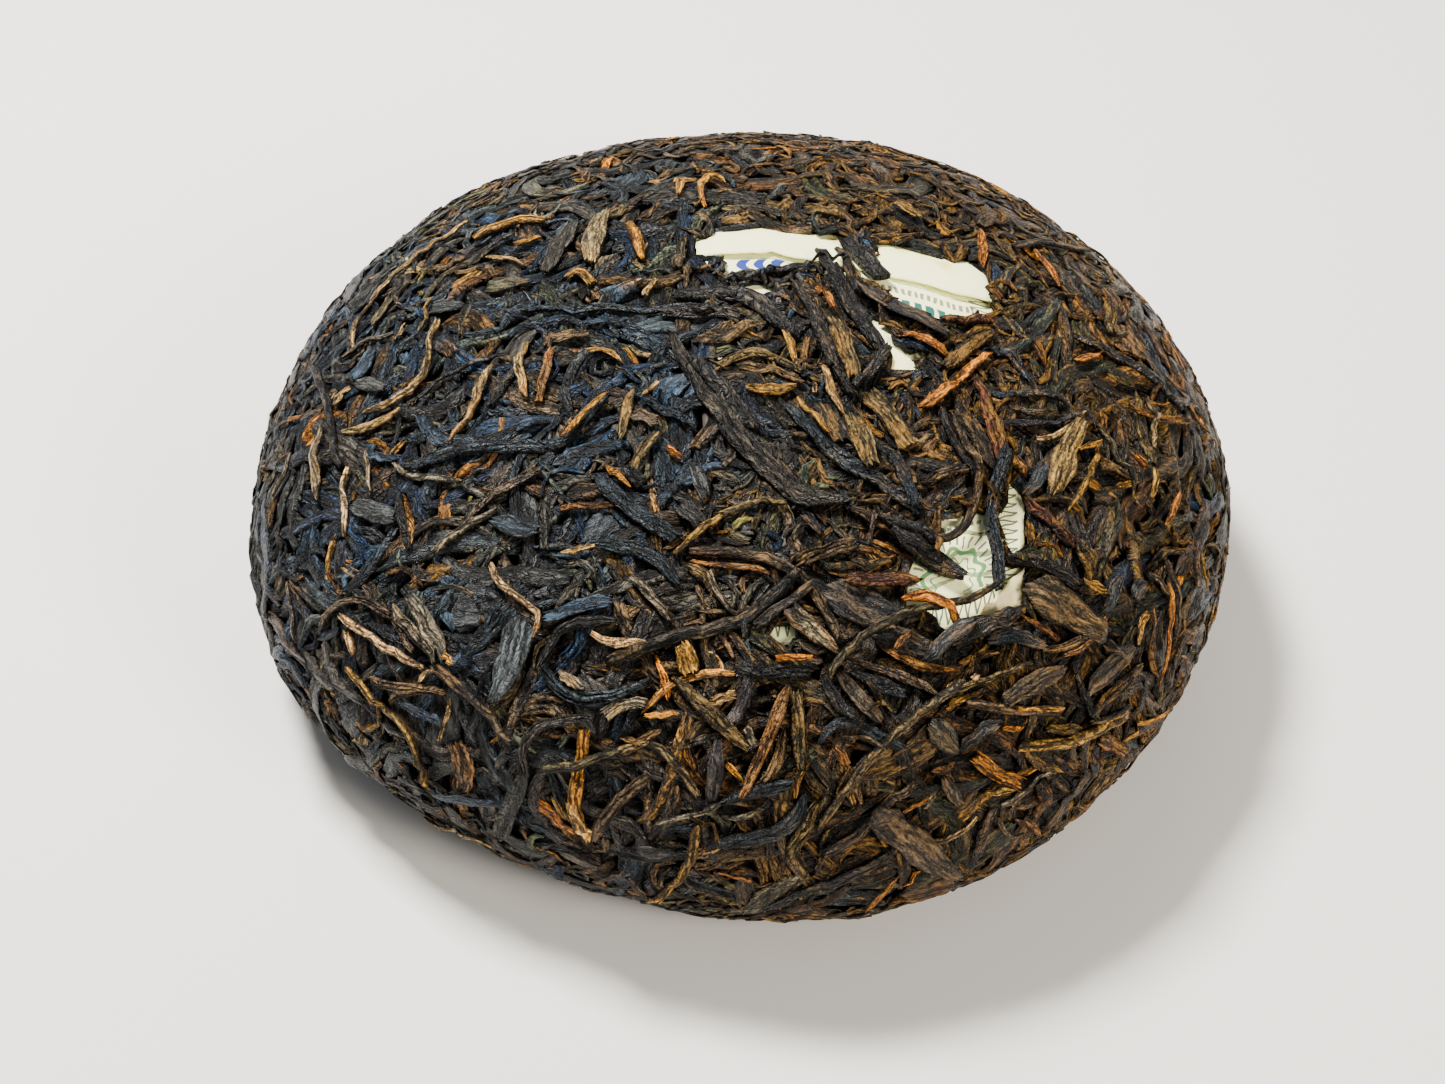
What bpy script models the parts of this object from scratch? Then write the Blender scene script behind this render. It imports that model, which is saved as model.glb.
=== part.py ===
"""Domed pressed tea cake with a hollow base and the paper ticket pressed into its top.

Metres, +Z up. The cake rests on its flat base ring at z = 0, centred on the origin in plan.
"""

import math
import random
from collections.abc import Callable, Iterable
from dataclasses import dataclass

import bmesh
import bpy
import numpy as np
from mathutils import Vector

# Overall shape of the cake, out to the tops of its leaves
RADIUS = 0.0525
WIDEST_Z = 0.014
DOME_HEIGHT = 0.029
DOME_POWER = 2.2
BASE_RADIUS = 0.039
LOWER_POWER = 2.2
CORE_SINK = 0.0011

# Hollow pressed into the underside
MOUTH_RADIUS = 0.0255
MOUTH_LIP = 0.003
HOLLOW_DEPTH = 0.025
HOLLOW_POWER = 2.2

# Slow changes of radius round the cake: lobes, cosine share, sine share
LOBES = ((2, 0.0037, -0.0011), (3, -0.0091, 0.0043), (4, -0.0009, 0.0061), (5, 0.0090, -0.0053))
LOBE_FADE = 1.5

# Facets of the turned core
TURN_STEPS = 36
DOME_STEPS = 8
LOWER_STEPS = 3
HOLLOW_STEPS = 4

# Paper ticket: its corners in plan (far left, far right, near right, near left) and its layers
TICKET_CORNERS = ((-0.0051, 0.0101), (0.0250, 0.0089), (0.0261, -0.0337), (-0.0030, -0.0404))
TICKET_DEPTH = 0.0012
TICKET_THICK = 0.00024
TICKET_FOLD_SHARE = 0.14
TICKET_GAP = 0.0003
SLOT_REACH = (0.014, 0.010)
WINDOW_RISE = 0.0045

# Parts of the ticket left uncovered: lowest and highest share across, then along
WINDOWS = (
    (-0.08, 1.08, -0.05, 0.15),
    (0.64, 1.08, 0.66, 1.06),
    (0.10, 0.24, 0.30, 0.38),
    (0.70, 0.86, 0.20, 0.42),
    (0.18, 0.34, 0.90, 1.05),
)

# Leaves that cross the uncovered parts: shares across and along at each end, then width
BRIDGES = (
    (0.36, -0.12, 0.52, 0.30, 0.0030),
    (0.55, -0.12, 0.64, 0.24, 0.0020),
    (0.58, 0.82, 1.16, 0.74, 0.0018),
    (0.76, 0.14, 0.80, 0.48, 0.0016),
)

# Leaf pieces
SEED = 11
RIM_Z = 0.022
LOWEST_LEAF = 0.0006
CANDIDATES = 24
FLAT_ANGLE = 0.01


@dataclass(frozen=True)
class LeafKind:
    """One kind of pressed leaf piece: how many, and its range of sizes in metres."""

    name: str
    count: int
    length: tuple[float, float]
    width: tuple[float, float]
    thick: tuple[float, float]
    bend: float
    rings: int


LEAF_KINDS = (
    LeafKind("broad_leaf", 26, (0.013, 0.019), (0.0034, 0.0046), (0.0013, 0.0017), 0.5, 3),
    LeafKind("stem", 26, (0.013, 0.021), (0.0014, 0.0018), (0.0014, 0.0018), 0.9, 3),
    LeafKind("twisted_leaf", 94, (0.009, 0.014), (0.0018, 0.0027), (0.0014, 0.0020), 0.8, 2),
    LeafKind("bud", 18, (0.006, 0.009), (0.0014, 0.0020), (0.0013, 0.0016), 0.4, 2),
)


def clear_scene() -> None:
    """Remove every object of the startup scene."""
    for item in list(bpy.data.objects):
        bpy.data.objects.remove(item)


def new_collection(name: str, hidden: bool = False) -> bpy.types.Collection:
    """Make a collection in the scene, left out of the render when hidden."""
    made = bpy.data.collections.new(name)
    made.hide_render = hidden
    bpy.context.scene.collection.children.link(made)
    return made


def new_material(name: str, colour: tuple[float, float, float], rough: float) -> bpy.types.Material:
    """Make a plain Principled material."""
    made = bpy.data.materials.new(name)
    made.use_nodes = True
    shader = made.node_tree.nodes["Principled BSDF"]
    shader.inputs["Base Color"].default_value = (*colour, 1.0)
    shader.inputs["Roughness"].default_value = rough
    return made


def new_object(
    name: str,
    points: Iterable,
    faces: Iterable,
    home: bpy.types.Collection,
    helper: bool = False,
) -> bpy.types.Object:
    """Make a mesh object in a collection; a helper is drawn as wire and left out of the render."""
    mesh = bpy.data.meshes.new(name)
    mesh.from_pydata([tuple(map(float, point)) for point in points], [], [tuple(face) for face in faces])
    mesh.update()
    made = bpy.data.objects.new(name, mesh)
    made.hide_render = helper
    if helper:
        made.display_type = "WIRE"
    home.objects.link(made)
    return made


def dome_profile(sink: float) -> list[tuple[float, float]]:
    """Points from the top of the dome down to the base ring, the whole lying sink below the leaf tops."""
    radius = RADIUS - sink
    rise = DOME_HEIGHT - sink
    found = []
    for step in range(DOME_STEPS + 1):
        turn = 0.5 * math.pi * step / DOME_STEPS
        across = radius * math.sin(turn) ** (2 / DOME_POWER)
        found.append((across, WIDEST_Z + rise * abs(math.cos(turn)) ** (2 / DOME_POWER)))
    for step in range(1, LOWER_STEPS + 1):
        turn = 0.5 * math.pi * step / LOWER_STEPS
        share = abs(math.cos(turn)) ** (2 / LOWER_POWER)
        across = BASE_RADIUS + (radius - BASE_RADIUS) * share
        found.append((across, WIDEST_Z * (1 - math.sin(turn) ** (2 / LOWER_POWER))))
    found[DOME_STEPS] = (radius, WIDEST_Z)
    found[-1] = (BASE_RADIUS, 0.0)
    return found


def hollow_profile() -> list[tuple[float, float]]:
    """Points from the inner edge of the base ring up to the crown of the hollow."""
    found = [(MOUTH_RADIUS + MOUTH_LIP, 0.0), (MOUTH_RADIUS + 0.3 * MOUTH_LIP, 0.3 * MOUTH_LIP)]
    for step in range(1, HOLLOW_STEPS + 1):
        turn = 0.5 * math.pi * step / HOLLOW_STEPS
        across = MOUTH_RADIUS * max(math.cos(turn), 0.0) ** (2 / HOLLOW_POWER)
        found.append((across, HOLLOW_DEPTH * math.sin(turn) ** (2 / HOLLOW_POWER)))
    found[-1] = (0.0, HOLLOW_DEPTH)
    return found


def lobe_share(angle: float) -> float:
    """Share by which the rim stands out at this angle."""
    return sum(c * math.cos(k * angle) + s * math.sin(k * angle) for k, c, s in LOBES)


def spread_lobes(x: float, y: float) -> tuple[float, float]:
    """Move a point of the even turned shape out to the uneven one."""
    across = math.hypot(x, y)
    scale = 1 + lobe_share(math.atan2(y, x)) * (across / RADIUS) ** LOBE_FADE
    return x * scale, y * scale


def even_radius(x: float, y: float) -> float:
    """Radius on the even turned shape that lies under this point of the uneven one."""
    across = math.hypot(x, y)
    share = lobe_share(math.atan2(y, x))
    even = across
    for _ in range(6):
        even = across / (1 + share * (even / RADIUS) ** LOBE_FADE)
    return even


def dome_z(x: float, y: float) -> float:
    """Height of the core's dome at a place in plan."""
    share = min(even_radius(x, y) / (RADIUS - CORE_SINK), 0.999)
    return WIDEST_Z + (DOME_HEIGHT - CORE_SINK) * (1 - share**DOME_POWER) ** (1 / DOME_POWER)


def dome_normal(x: float, y: float) -> Vector:
    """Outward direction of the core's dome at a place in plan."""
    step = 0.0004
    slope_x = (dome_z(x + step, y) - dome_z(x - step, y)) / (2 * step)
    slope_y = (dome_z(x, y + step) - dome_z(x, y - step)) / (2 * step)
    return Vector((-slope_x, -slope_y, 1.0)).normalized()


class CoreSurface:
    """The turned core's skin as a finely divided profile, used to lay leaves on it."""

    def __init__(self, corners: list[tuple[float, float]]) -> None:
        """Divide the profile finely and keep its length, normals and share of the area."""
        points = np.array(corners)
        steps = np.hypot(*np.diff(points, axis=0).T)
        travel = np.concatenate([[0.0], np.cumsum(steps)])
        fine = np.arange(0.0, travel[-1], 0.0003)
        self.across = np.interp(fine, travel, points[:, 0])
        self.height = np.interp(fine, travel, points[:, 1])
        smooth = np.convolve(np.pad(self.across, 4, "edge"), np.ones(9) / 9, "valid")
        smooth_z = np.convolve(np.pad(self.height, 4, "edge"), np.ones(9) / 9, "valid")
        along = np.stack([np.gradient(smooth), np.gradient(smooth_z)])
        along /= np.maximum(np.hypot(*along), 1e-12)
        self.out = np.stack([-along[1], along[0]])
        weight = np.where(self.height > LOWEST_LEAF * 2, self.across, 0.0)
        self.area = np.cumsum(weight) / weight.sum()

    def index_at_area(self, share: float) -> int:
        """Index of the profile point at this share of the total area."""
        return int(min(np.searchsorted(self.area, share), len(self.area) - 1))

    def place(self, index: int, angle: float) -> Vector:
        """Point of the skin at a profile index and an angle round the axis."""
        across = float(self.across[index])
        x, y = spread_lobes(across * math.cos(angle), across * math.sin(angle))
        return Vector((x, y, float(self.height[index])))

    def nearest(self, point: Vector) -> tuple[Vector, Vector]:
        """Nearest point of the skin and its outward direction."""
        even = even_radius(point.x, point.y)
        angle = math.atan2(point.y, point.x)
        away = (self.across - even) ** 2 + (self.height - point.z) ** 2
        index = int(np.argmin(away))
        side = Vector((math.cos(angle), math.sin(angle), 0.0))
        normal = side * float(self.out[0][index]) + Vector((0.0, 0.0, float(self.out[1][index])))
        return self.place(index, angle), normal.normalized()


def ticket_plan(u: float, v: float) -> tuple[float, float]:
    """Place in plan at shares across and along the ticket, which may lie past its edges."""
    far_left, far_right, near_right, near_left = TICKET_CORNERS
    found = []
    for axis in (0, 1):
        far = far_left[axis] + (far_right[axis] - far_left[axis]) * u
        near = near_left[axis] + (near_right[axis] - near_left[axis]) * u
        found.append(far + (near - far) * v)
    return found[0], found[1]


def layer_point(u: float, v: float, rise: float) -> Vector:
    """Point at this rise above the core's dome, over a place of the ticket."""
    x, y = ticket_plan(u, v)
    return Vector((x, y, dome_z(x, y))) + dome_normal(x, y) * rise


def patch(
    name: str,
    shares_u: list[float],
    shares_v: list[float],
    low: Callable[[float], float],
    high: Callable[[float], float],
    home: bpy.types.Collection,
    helper: bool,
) -> bpy.types.Object:
    """Closed sheet between two rises over a part of the ticket, both faces split alike.

    Args:
        name: Name of the object.
        shares_u: Shares across the ticket, rising.
        shares_v: Shares along the ticket, rising.
        low: Function of v that gives the rise of the lower face.
        high: Function of v that gives the rise of the upper face.
        home: Collection that the object goes in.
        helper: Whether it is a cutter.

    Returns:
        The mesh object.
    """
    wide = len(shares_u)
    long = len(shares_v)
    points = [layer_point(u, v, high(v)) for v in shares_v for u in shares_u]
    points += [layer_point(u, v, low(v)) for v in shares_v for u in shares_u]
    under = wide * long
    faces = []
    for row in range(long - 1):
        for column in range(wide - 1):
            a = row * wide + column
            b = a + 1
            c = a + wide + 1
            d = a + wide
            faces += [(a, c, b), (a, d, c)]
            faces += [(under + a, under + b, under + c), (under + a, under + c, under + d)]
    ring = [column for column in range(wide)]
    ring += [row * wide + wide - 1 for row in range(1, long)]
    ring += [(long - 1) * wide + column for column in range(wide - 2, -1, -1)]
    ring += [row * wide for row in range(long - 2, 0, -1)]
    for here, there in zip(ring, ring[1:] + ring[:1]):
        faces += [(here, there, under + there), (here, under + there, under + here)]
    return new_object(name, points, faces, home, helper)


def shares(low: float, high: float, step: float) -> list[float]:
    """Evenly spaced shares from low to high, no further apart than step."""
    count = max(1, math.ceil((high - low) / step))
    return [low + (high - low) * item / count for item in range(count + 1)]


def make_core(home: bpy.types.Collection) -> bpy.types.Object:
    """Turn the profile of the cake into its uneven core."""
    corners = dome_profile(CORE_SINK) + hollow_profile()
    edges = [(item, item + 1) for item in range(len(corners) - 1)]
    mesh = bpy.data.meshes.new("tea_cake")
    mesh.from_pydata([(across, 0.0, z) for across, z in corners], edges, [])
    core = bpy.data.objects.new("tea_cake", mesh)
    home.objects.link(core)
    turn = core.modifiers.new("turn", "SCREW")
    turn.steps = TURN_STEPS
    turn.render_steps = TURN_STEPS
    turn.use_merge_vertices = True
    turn.merge_threshold = 0.00005
    bake(core)
    for vertex in core.data.vertices:
        vertex.co.x, vertex.co.y = spread_lobes(vertex.co.x, vertex.co.y)
    shape = bmesh.new()
    shape.from_mesh(core.data)
    bmesh.ops.triangulate(shape, faces=shape.faces[:])
    if shape.calc_volume(signed=True) < 0:
        bmesh.ops.reverse_faces(shape, faces=shape.faces[:])
    shape.to_mesh(core.data)
    shape.free()
    return core


def leaf_path(
    skin: CoreSurface, start: Vector, heading: float, length: float, bend: float, rings: int
) -> list[tuple[Vector, Vector, Vector]]:
    """Follow the skin both ways from a point.

    Args:
        skin: The surface that the leaf lies on.
        start: Middle of the leaf.
        heading: Direction in the surface, zero along the rim.
        length: Length of the leaf.
        bend: Change of heading over its whole length.
        rings: Number of steps along it.

    Returns:
        Point, direction along the leaf and outward direction at each step.
    """
    spot, normal = skin.nearest(start)
    around = Vector((-spot.y, spot.x, 0.0)).normalized()
    up = normal.cross(around)
    first = (around * math.cos(heading) + up * math.sin(heading)).normalized()
    found = [(spot, first, normal)]
    step = length / rings
    for way in (1, -1):
        here, along, out = spot, first * way, normal
        for _ in range(rings // 2 if rings % 2 == 0 else (rings + way) // 2):
            turned = along + out.cross(along) * (bend / rings * way)
            there, out = skin.nearest(here + turned.normalized() * step)
            along = (there - here).normalized()
            here = there
            if way == 1:
                found.append((there, along, out))
            else:
                found.insert(0, (there, -along, out))
    return found


def leaf_solid(
    name: str,
    path: list[tuple[Vector, Vector, Vector]],
    width: float,
    thick: float,
    twist: float,
    rise: float,
    home: bpy.types.Collection,
) -> bpy.types.Object:
    """Lay a tapered four-sided leaf along a path, its tips dipping into the cake."""
    points = []
    last = len(path) - 1
    for place, (spot, along, out) in enumerate(path):
        share = place / last
        swell = 0.4 + 0.6 * math.sin(math.pi * share) ** 0.6
        dip = rise - 0.0007 * (2 * share - 1) ** 2
        side = out.cross(along).normalized()
        turn = twist * (share - 0.5)
        across = side * math.cos(turn) + out * math.sin(turn)
        over = out * math.cos(turn) - side * math.sin(turn)
        middle = spot + out * dip
        points.append(middle + across * (0.5 * width * swell))
        points.append(middle + over * (0.5 * thick * swell) + across * (0.12 * width))
        points.append(middle - across * (0.5 * width * swell))
        points.append(spot - out * (0.5 * thick + 0.0002))
    faces = []
    for place in range(last):
        for side_index in range(4):
            a = place * 4 + side_index
            b = place * 4 + (side_index + 1) % 4
            faces += [(a, b, b + 4), (a, b + 4, a + 4)]
    faces += [(0, 2, 1), (0, 3, 2)]
    end = last * 4
    faces += [(end, end + 1, end + 2), (end, end + 2, end + 3)]
    made = new_object(name, points, faces, home, True)
    shape = bmesh.new()
    shape.from_mesh(made.data)
    if shape.calc_volume(signed=True) < 0:
        bmesh.ops.reverse_faces(shape, faces=shape.faces[:])
    shape.to_mesh(made.data)
    shape.free()
    return made


def over_window(point: Vector) -> bool:
    """Whether a place in plan lies over an uncovered part of the ticket."""
    far_left, far_right, near_right, near_left = (Vector((*corner, 0.0)) for corner in TICKET_CORNERS)
    across = far_right - far_left
    along = near_left - far_left
    away = Vector((point.x, point.y, 0.0)) - far_left
    size = across.x * along.y - across.y * along.x
    u = (away.x * along.y - away.y * along.x) / size
    v = (across.x * away.y - across.y * away.x) / size
    return point.z > WIDEST_Z and any(a < u < b and c < v < d for a, b, c, d in WINDOWS)


def lay_bridges(home: bpy.types.Collection) -> None:
    """Lay the few leaves that cross the uncovered parts of the ticket."""
    for number, (u0, v0, u1, v1, width) in enumerate(BRIDGES):
        spots = []
        for step in range(5):
            share = step / 4
            u, v = u0 + (u1 - u0) * share, v0 + (v1 - v0) * share
            x, y = ticket_plan(u, v)
            spots.append((layer_point(u, v, 0.0), dome_normal(x, y)))
        along = [(b[0] - a[0]).normalized() for a, b in zip(spots, spots[1:])]
        path = [(spot, way, out) for (spot, out), way in zip(spots, along + along[-1:])]
        leaf_solid(f"bridge_{number}", path, width, 0.0012, 0.3, 0.0003, home)


def lay_leaves(skin: CoreSurface, home: bpy.types.Collection) -> int:
    """Lay every kind of leaf over the skin, largest kind first and evenly spread."""
    chance = random.Random(SEED)
    taken: list[Vector] = []
    for kind in LEAF_KINDS:
        wanted = len(taken) + kind.count
        for _ in range(6 * kind.count):
            if len(taken) == wanted:
                break
            spots = [
                skin.place(skin.index_at_area(chance.random()), chance.uniform(0, math.tau))
                for _ in range(CANDIDATES)
            ]
            best = max(spots, key=lambda spot: min(((spot - other).length for other in taken), default=1.0))
            on_rim = best.z < RIM_Z and math.hypot(best.x, best.y) > BASE_RADIUS
            wild = 0.5 if on_rim else math.pi
            path = leaf_path(
                skin,
                best,
                chance.uniform(-wild, wild),
                chance.uniform(*kind.length),
                chance.uniform(-kind.bend, kind.bend),
                kind.rings,
            )
            width = chance.uniform(*kind.width)
            thick = chance.uniform(*kind.thick)
            twist = chance.uniform(-0.7, 0.7)
            rise = chance.uniform(0.0003, 0.0008)
            if any(over_window(spot) for spot, _, _ in path):
                continue
            if min(spot.z for spot, _, _ in path) < LOWEST_LEAF + thick:
                continue
            leaf_solid(f"{kind.name}_{len(taken):03d}", path, width, thick, twist, rise, home)
            taken.append(best)
    return len(taken)


def bake(item: bpy.types.Object) -> None:
    """Replace an object's mesh by what its modifiers make of it."""
    bpy.context.view_layer.update()
    graph = bpy.context.evaluated_depsgraph_get()
    made = bpy.data.meshes.new_from_object(item.evaluated_get(graph))
    item.modifiers.clear()
    old = item.data
    item.data = made
    bpy.data.meshes.remove(old)


def combine(item: bpy.types.Object, others: bpy.types.Collection, operation: str) -> None:
    """Join a collection to an object, or cut it away, then remove the collection's objects."""
    step = item.modifiers.new(operation.lower(), "BOOLEAN")
    step.operation = operation
    step.solver = "MANIFOLD"
    step.operand_type = "COLLECTION"
    step.collection = others
    bake(item)
    for other in list(others.objects):
        bpy.data.objects.remove(other)
    bpy.data.collections.remove(others)


def keep_largest(item: bpy.types.Object) -> None:
    """Drop loose scraps and sealed bubbles, leaving the one large skin."""
    shape = bmesh.new()
    shape.from_mesh(item.data)
    bmesh.ops.dissolve_limit(
        shape, angle_limit=FLAT_ANGLE, verts=shape.verts[:], edges=shape.edges[:], delimit=set()
    )
    bmesh.ops.triangulate(shape, faces=shape.faces[:])
    shape.verts.ensure_lookup_table()
    unseen = set(shape.verts)
    groups = []
    while unseen:
        queue = [unseen.pop()]
        group = list(queue)
        while queue:
            for edge in queue.pop().link_edges:
                for vertex in edge.verts:
                    if vertex in unseen:
                        unseen.remove(vertex)
                        queue.append(vertex)
                        group.append(vertex)
        groups.append(group)
    groups.sort(key=len)
    for group in groups[:-1]:
        bmesh.ops.delete(shape, geom=group, context="VERTS")
    shape.to_mesh(item.data)
    shape.free()


def centre_in_plan(leader: bpy.types.Object, others: list[bpy.types.Object]) -> None:
    """Move the objects together so that the leader's bounds are centred on the origin in plan."""
    spots = np.array([vertex.co[:] for vertex in leader.data.vertices])
    middle = (spots.min(axis=0) + spots.max(axis=0)) / 2
    for item in [leader, *others]:
        for vertex in item.data.vertices:
            vertex.co.x -= middle[0]
            vertex.co.y -= middle[1]


def ticket_top(v: float) -> float:
    """Rise of the ticket's upper face, doubled where its far margin is folded over."""
    return -TICKET_DEPTH + TICKET_THICK * (1.5 if v <= TICKET_FOLD_SHARE + 0.001 else 0.5)


def ticket_under(v: float) -> float:
    """Rise of the ticket's lower face."""
    return -TICKET_DEPTH - 0.5 * TICKET_THICK


def make_ticket(home: bpy.types.Collection) -> bpy.types.Object:
    """Make the paper ticket, bent over the dome."""
    along = sorted({*shares(0.0, 1.0, 0.10), TICKET_FOLD_SHARE, TICKET_FOLD_SHARE + 0.02})
    return patch("paper_ticket", shares(0.0, 1.0, 0.13), along, ticket_under, ticket_top, home, False)


def make_windows(home: bpy.types.Collection) -> None:
    """Make the cutters that uncover parts of the ticket."""
    for number, (u0, u1, v0, v1) in enumerate(WINDOWS):
        wide = shares(u0, u1, 0.2)
        deep = shares(v0, v1, 0.2)
        patch(f"window_{number}", wide, deep, ticket_under, lambda v: WINDOW_RISE, home, True)


def make_slot(home: bpy.types.Collection) -> None:
    """Make the cutter that keeps the cake clear of the ticket all round."""
    wide = [-SLOT_REACH[0], *shares(0.0, 1.0, 0.13)[1:-1], 1 + SLOT_REACH[0]]
    along = sorted({*shares(0.0, 1.0, 0.10), TICKET_FOLD_SHARE, TICKET_FOLD_SHARE + 0.02})
    deep = [-SLOT_REACH[1], *along[1:-1], 1 + SLOT_REACH[1]]
    patch(
        "slot",
        wide,
        deep,
        lambda v: ticket_under(v) - TICKET_GAP,
        lambda v: ticket_top(v - 0.025) + TICKET_GAP,
        home,
        True,
    )


def main() -> None:
    """Build the cake and its ticket."""
    clear_scene()
    home = new_collection("pressed_tea_cake")
    cake = make_core(home)
    cake.data.materials.append(new_material("pressed_tea", (0.045, 0.032, 0.024), 0.6))
    ticket = make_ticket(home)
    ticket.data.materials.append(new_material("ticket_paper", (0.80, 0.78, 0.66), 0.8))

    window_cutters = new_collection("window_cutters", hidden=True)
    make_windows(window_cutters)
    combine(cake, window_cutters, "DIFFERENCE")

    leaves = new_collection("leaf_pieces", hidden=True)
    laid = lay_leaves(CoreSurface(dome_profile(CORE_SINK) + hollow_profile()), leaves)
    lay_bridges(leaves)
    combine(cake, leaves, "UNION")

    slot_cutter = new_collection("slot_cutter", hidden=True)
    make_slot(slot_cutter)
    combine(cake, slot_cutter, "DIFFERENCE")
    keep_largest(cake)
    centre_in_plan(cake, [ticket])
    print(f"laid {laid} leaf pieces, cake {len(cake.data.polygons)} triangles, ticket {len(ticket.data.polygons)}")


main()
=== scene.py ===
"""Dresses the pressed tea cake: its core, every leaf laid on it in layers, and the paper ticket.

Everything is in metres, in the frame of the solids. The cake's outline repeats their sizes.
"""

import logging
import math
from collections.abc import Callable, Sequence
from dataclasses import dataclass, field
from enum import Enum

import bmesh
import bpy
import numpy as np
from mathutils import Matrix, Vector, noise
from mathutils.kdtree import KDTree


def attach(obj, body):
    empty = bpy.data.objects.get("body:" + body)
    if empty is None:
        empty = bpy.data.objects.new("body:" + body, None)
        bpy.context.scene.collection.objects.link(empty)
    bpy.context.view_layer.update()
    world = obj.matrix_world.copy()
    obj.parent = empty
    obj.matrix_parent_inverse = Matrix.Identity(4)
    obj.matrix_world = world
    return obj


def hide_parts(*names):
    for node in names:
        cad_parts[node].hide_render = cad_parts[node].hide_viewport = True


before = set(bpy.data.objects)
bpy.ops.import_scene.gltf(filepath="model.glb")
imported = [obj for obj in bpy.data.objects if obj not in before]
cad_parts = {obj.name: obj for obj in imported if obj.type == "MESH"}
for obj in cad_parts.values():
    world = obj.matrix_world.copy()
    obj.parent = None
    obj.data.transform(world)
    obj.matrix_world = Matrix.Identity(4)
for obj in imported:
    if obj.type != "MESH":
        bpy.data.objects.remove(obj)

log = logging.getLogger("tea_cake")

Array = np.ndarray
Colour = tuple[float, float, float]
Pair = tuple[float, float]


class Form(Enum):
    """How a leaf piece has rolled, which sets its outline and its section."""

    TWISTED = "twisted"
    STEM = "stem"
    BROAD = "broad"
    FLAKE = "flake"
    BUD = "bud"
    CRUMB = "crumb"


class LeafColour(Enum):
    """Colours of the leaves, as linear red, green and blue."""

    GOLD = (0.36, 0.175, 0.020)
    PALE = (0.44, 0.255, 0.105)
    TAN = (0.24, 0.145, 0.050)
    OCHRE = (0.18, 0.095, 0.013)
    AMBER = (0.27, 0.112, 0.005)
    ORANGE = (0.30, 0.092, 0.002)
    RUST = (0.12, 0.046, 0.009)
    GREY_TAN = (0.125, 0.098, 0.060)
    OLIVE = (0.076, 0.052, 0.018)
    UMBER = (0.060, 0.037, 0.018)
    BROWN = (0.036, 0.0230, 0.0120)
    RED_BROWN = (0.060, 0.020, 0.009)
    GREY_BROWN = (0.0270, 0.0215, 0.0155)
    SLATE = (0.0200, 0.0215, 0.0215)
    PURPLE = (0.0190, 0.0148, 0.0155)
    DARK = (0.0130, 0.0115, 0.0105)
    BLUE_BLACK = (0.0088, 0.0144, 0.0200)
    INK_BLUE = (0.0080, 0.0185, 0.0340)
    DULL_RUST = (0.1, 0.052, 0.02)
    MOSS = (0.026, 0.026, 0.018)
    WALNUT = (0.046, 0.03, 0.013)
    PALE_HUSK = (0.19, 0.125, 0.045)
    STRAW = (0.4, 0.22, 0.06)
    STEEL = (0.04, 0.047, 0.052)
    BARK = (0.046, 0.035, 0.015)
    TANGERINE = (0.36, 0.1, 0.001)
    HUSK = (0.21, 0.125, 0.028)
    PEAT = (0.05, 0.035, 0.016)
    BURNT_OCHRE = (0.2, 0.095, 0.008)
    LEATHER = (0.062, 0.039, 0.015)
    CHESTNUT = (0.13, 0.055, 0.014)
    BRONZE = (0.07, 0.048, 0.02)
    DARK_LEATHER = (0.05, 0.031, 0.014)
    OLD_GOLD = (0.22, 0.115, 0.016)
    COPPER = (0.34, 0.11, 0.003)


@dataclass(frozen=True)
class LeafFinish:
    """Look of one sort of leaf."""

    name: str
    roughness: float
    streak: float
    relief: float
    # pale: colour of the pale crest marks, partly pale dust and partly painted highlight
    pale: Colour
    # pale_warm: the crest colour on the right, warmed as painted reflected light
    pale_warm: Colour
    pale_share: float
    gloss: float = 0.16


@dataclass(frozen=True)
class PaintedLightTint:
    """Painted light in the leaf colours: a cool blue tint over the top's left stands in for cool light, and a
    warm orange tint to the right, at the front and behind stands in for warm reflected light. Parts turned
    from the view get less of the blue.

    A pair of places is where a change starts and ends, in metres. A pair of warmths is that on the right and
    what the left adds. The rise is how much warmer the cake grows over what distance to the right. The least
    and most drift bound each leaf before and after its own stray is added.
    """

    # painted light: the cool tint stands in for cool light, the warm tint for warm orange reflected light
    cool: Colour = (0.56, 1.03, 1.72)
    warm: Colour = (1.90, 1.27, 0.42)
    plain: Colour = (1.15, 1.0, 0.85)
    plain_share: float = 0.6
    spread: float = 0.28
    view: Pair = (-0.709, 0.705)
    view_span: Pair = (-0.15, 0.40)
    # painted shade: the far-left rim, between these places, is drawn darker by this share
    rim_span: Pair = (-0.036, -0.046)
    rim_painted_shade: float = 0.28
    left_span: Pair = (-0.005, -0.030)
    rise: Pair = (3.0, 0.045)
    start: float = 0.80
    least: float = -2.3
    near_span: Pair = (-0.016, -0.045)
    near_warmth: Pair = (1.5, 1.1)
    far_span: Pair = (0.003, 0.030)
    far_warmth: Pair = (1.7, 1.0)
    hidden_blue: float = 0.30
    brown_leaf_blue: float = -0.50
    before: Pair = (-1.5, 1.5)
    after: Pair = (-1.15, 1.35)
    stray: float = 0.55
    odd_stray: Pair = (0.63, 2.4)
    tip: Colour = (0.34, 0.17, 0.045)


@dataclass(frozen=True)
class PaperFinish:
    """Look of the ticket: its paper, stains and inks, and the painted shade of its parts under leaves."""

    paper: Colour = (0.98, 0.98, 0.52)
    fold: Colour = (0.88, 0.77, 0.40)
    stain: Colour = (0.86, 0.66, 0.16)
    # painted shade: the near-black colour of the paper where leaves cover it
    painted_shade: Colour = (0.030, 0.019, 0.010)
    green_ink: Colour = (0.03, 0.22, 0.05)
    olive_ink: Colour = (0.10, 0.15, 0.05)
    dark_ink: Colour = (0.012, 0.040, 0.028)
    teal_ink: Colour = (0.0, 0.10, 0.075)
    blue_ink: Colour = (0.0, 0.022, 0.22)
    roughness: float = 0.62
    relief: float = 0.00008


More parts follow.
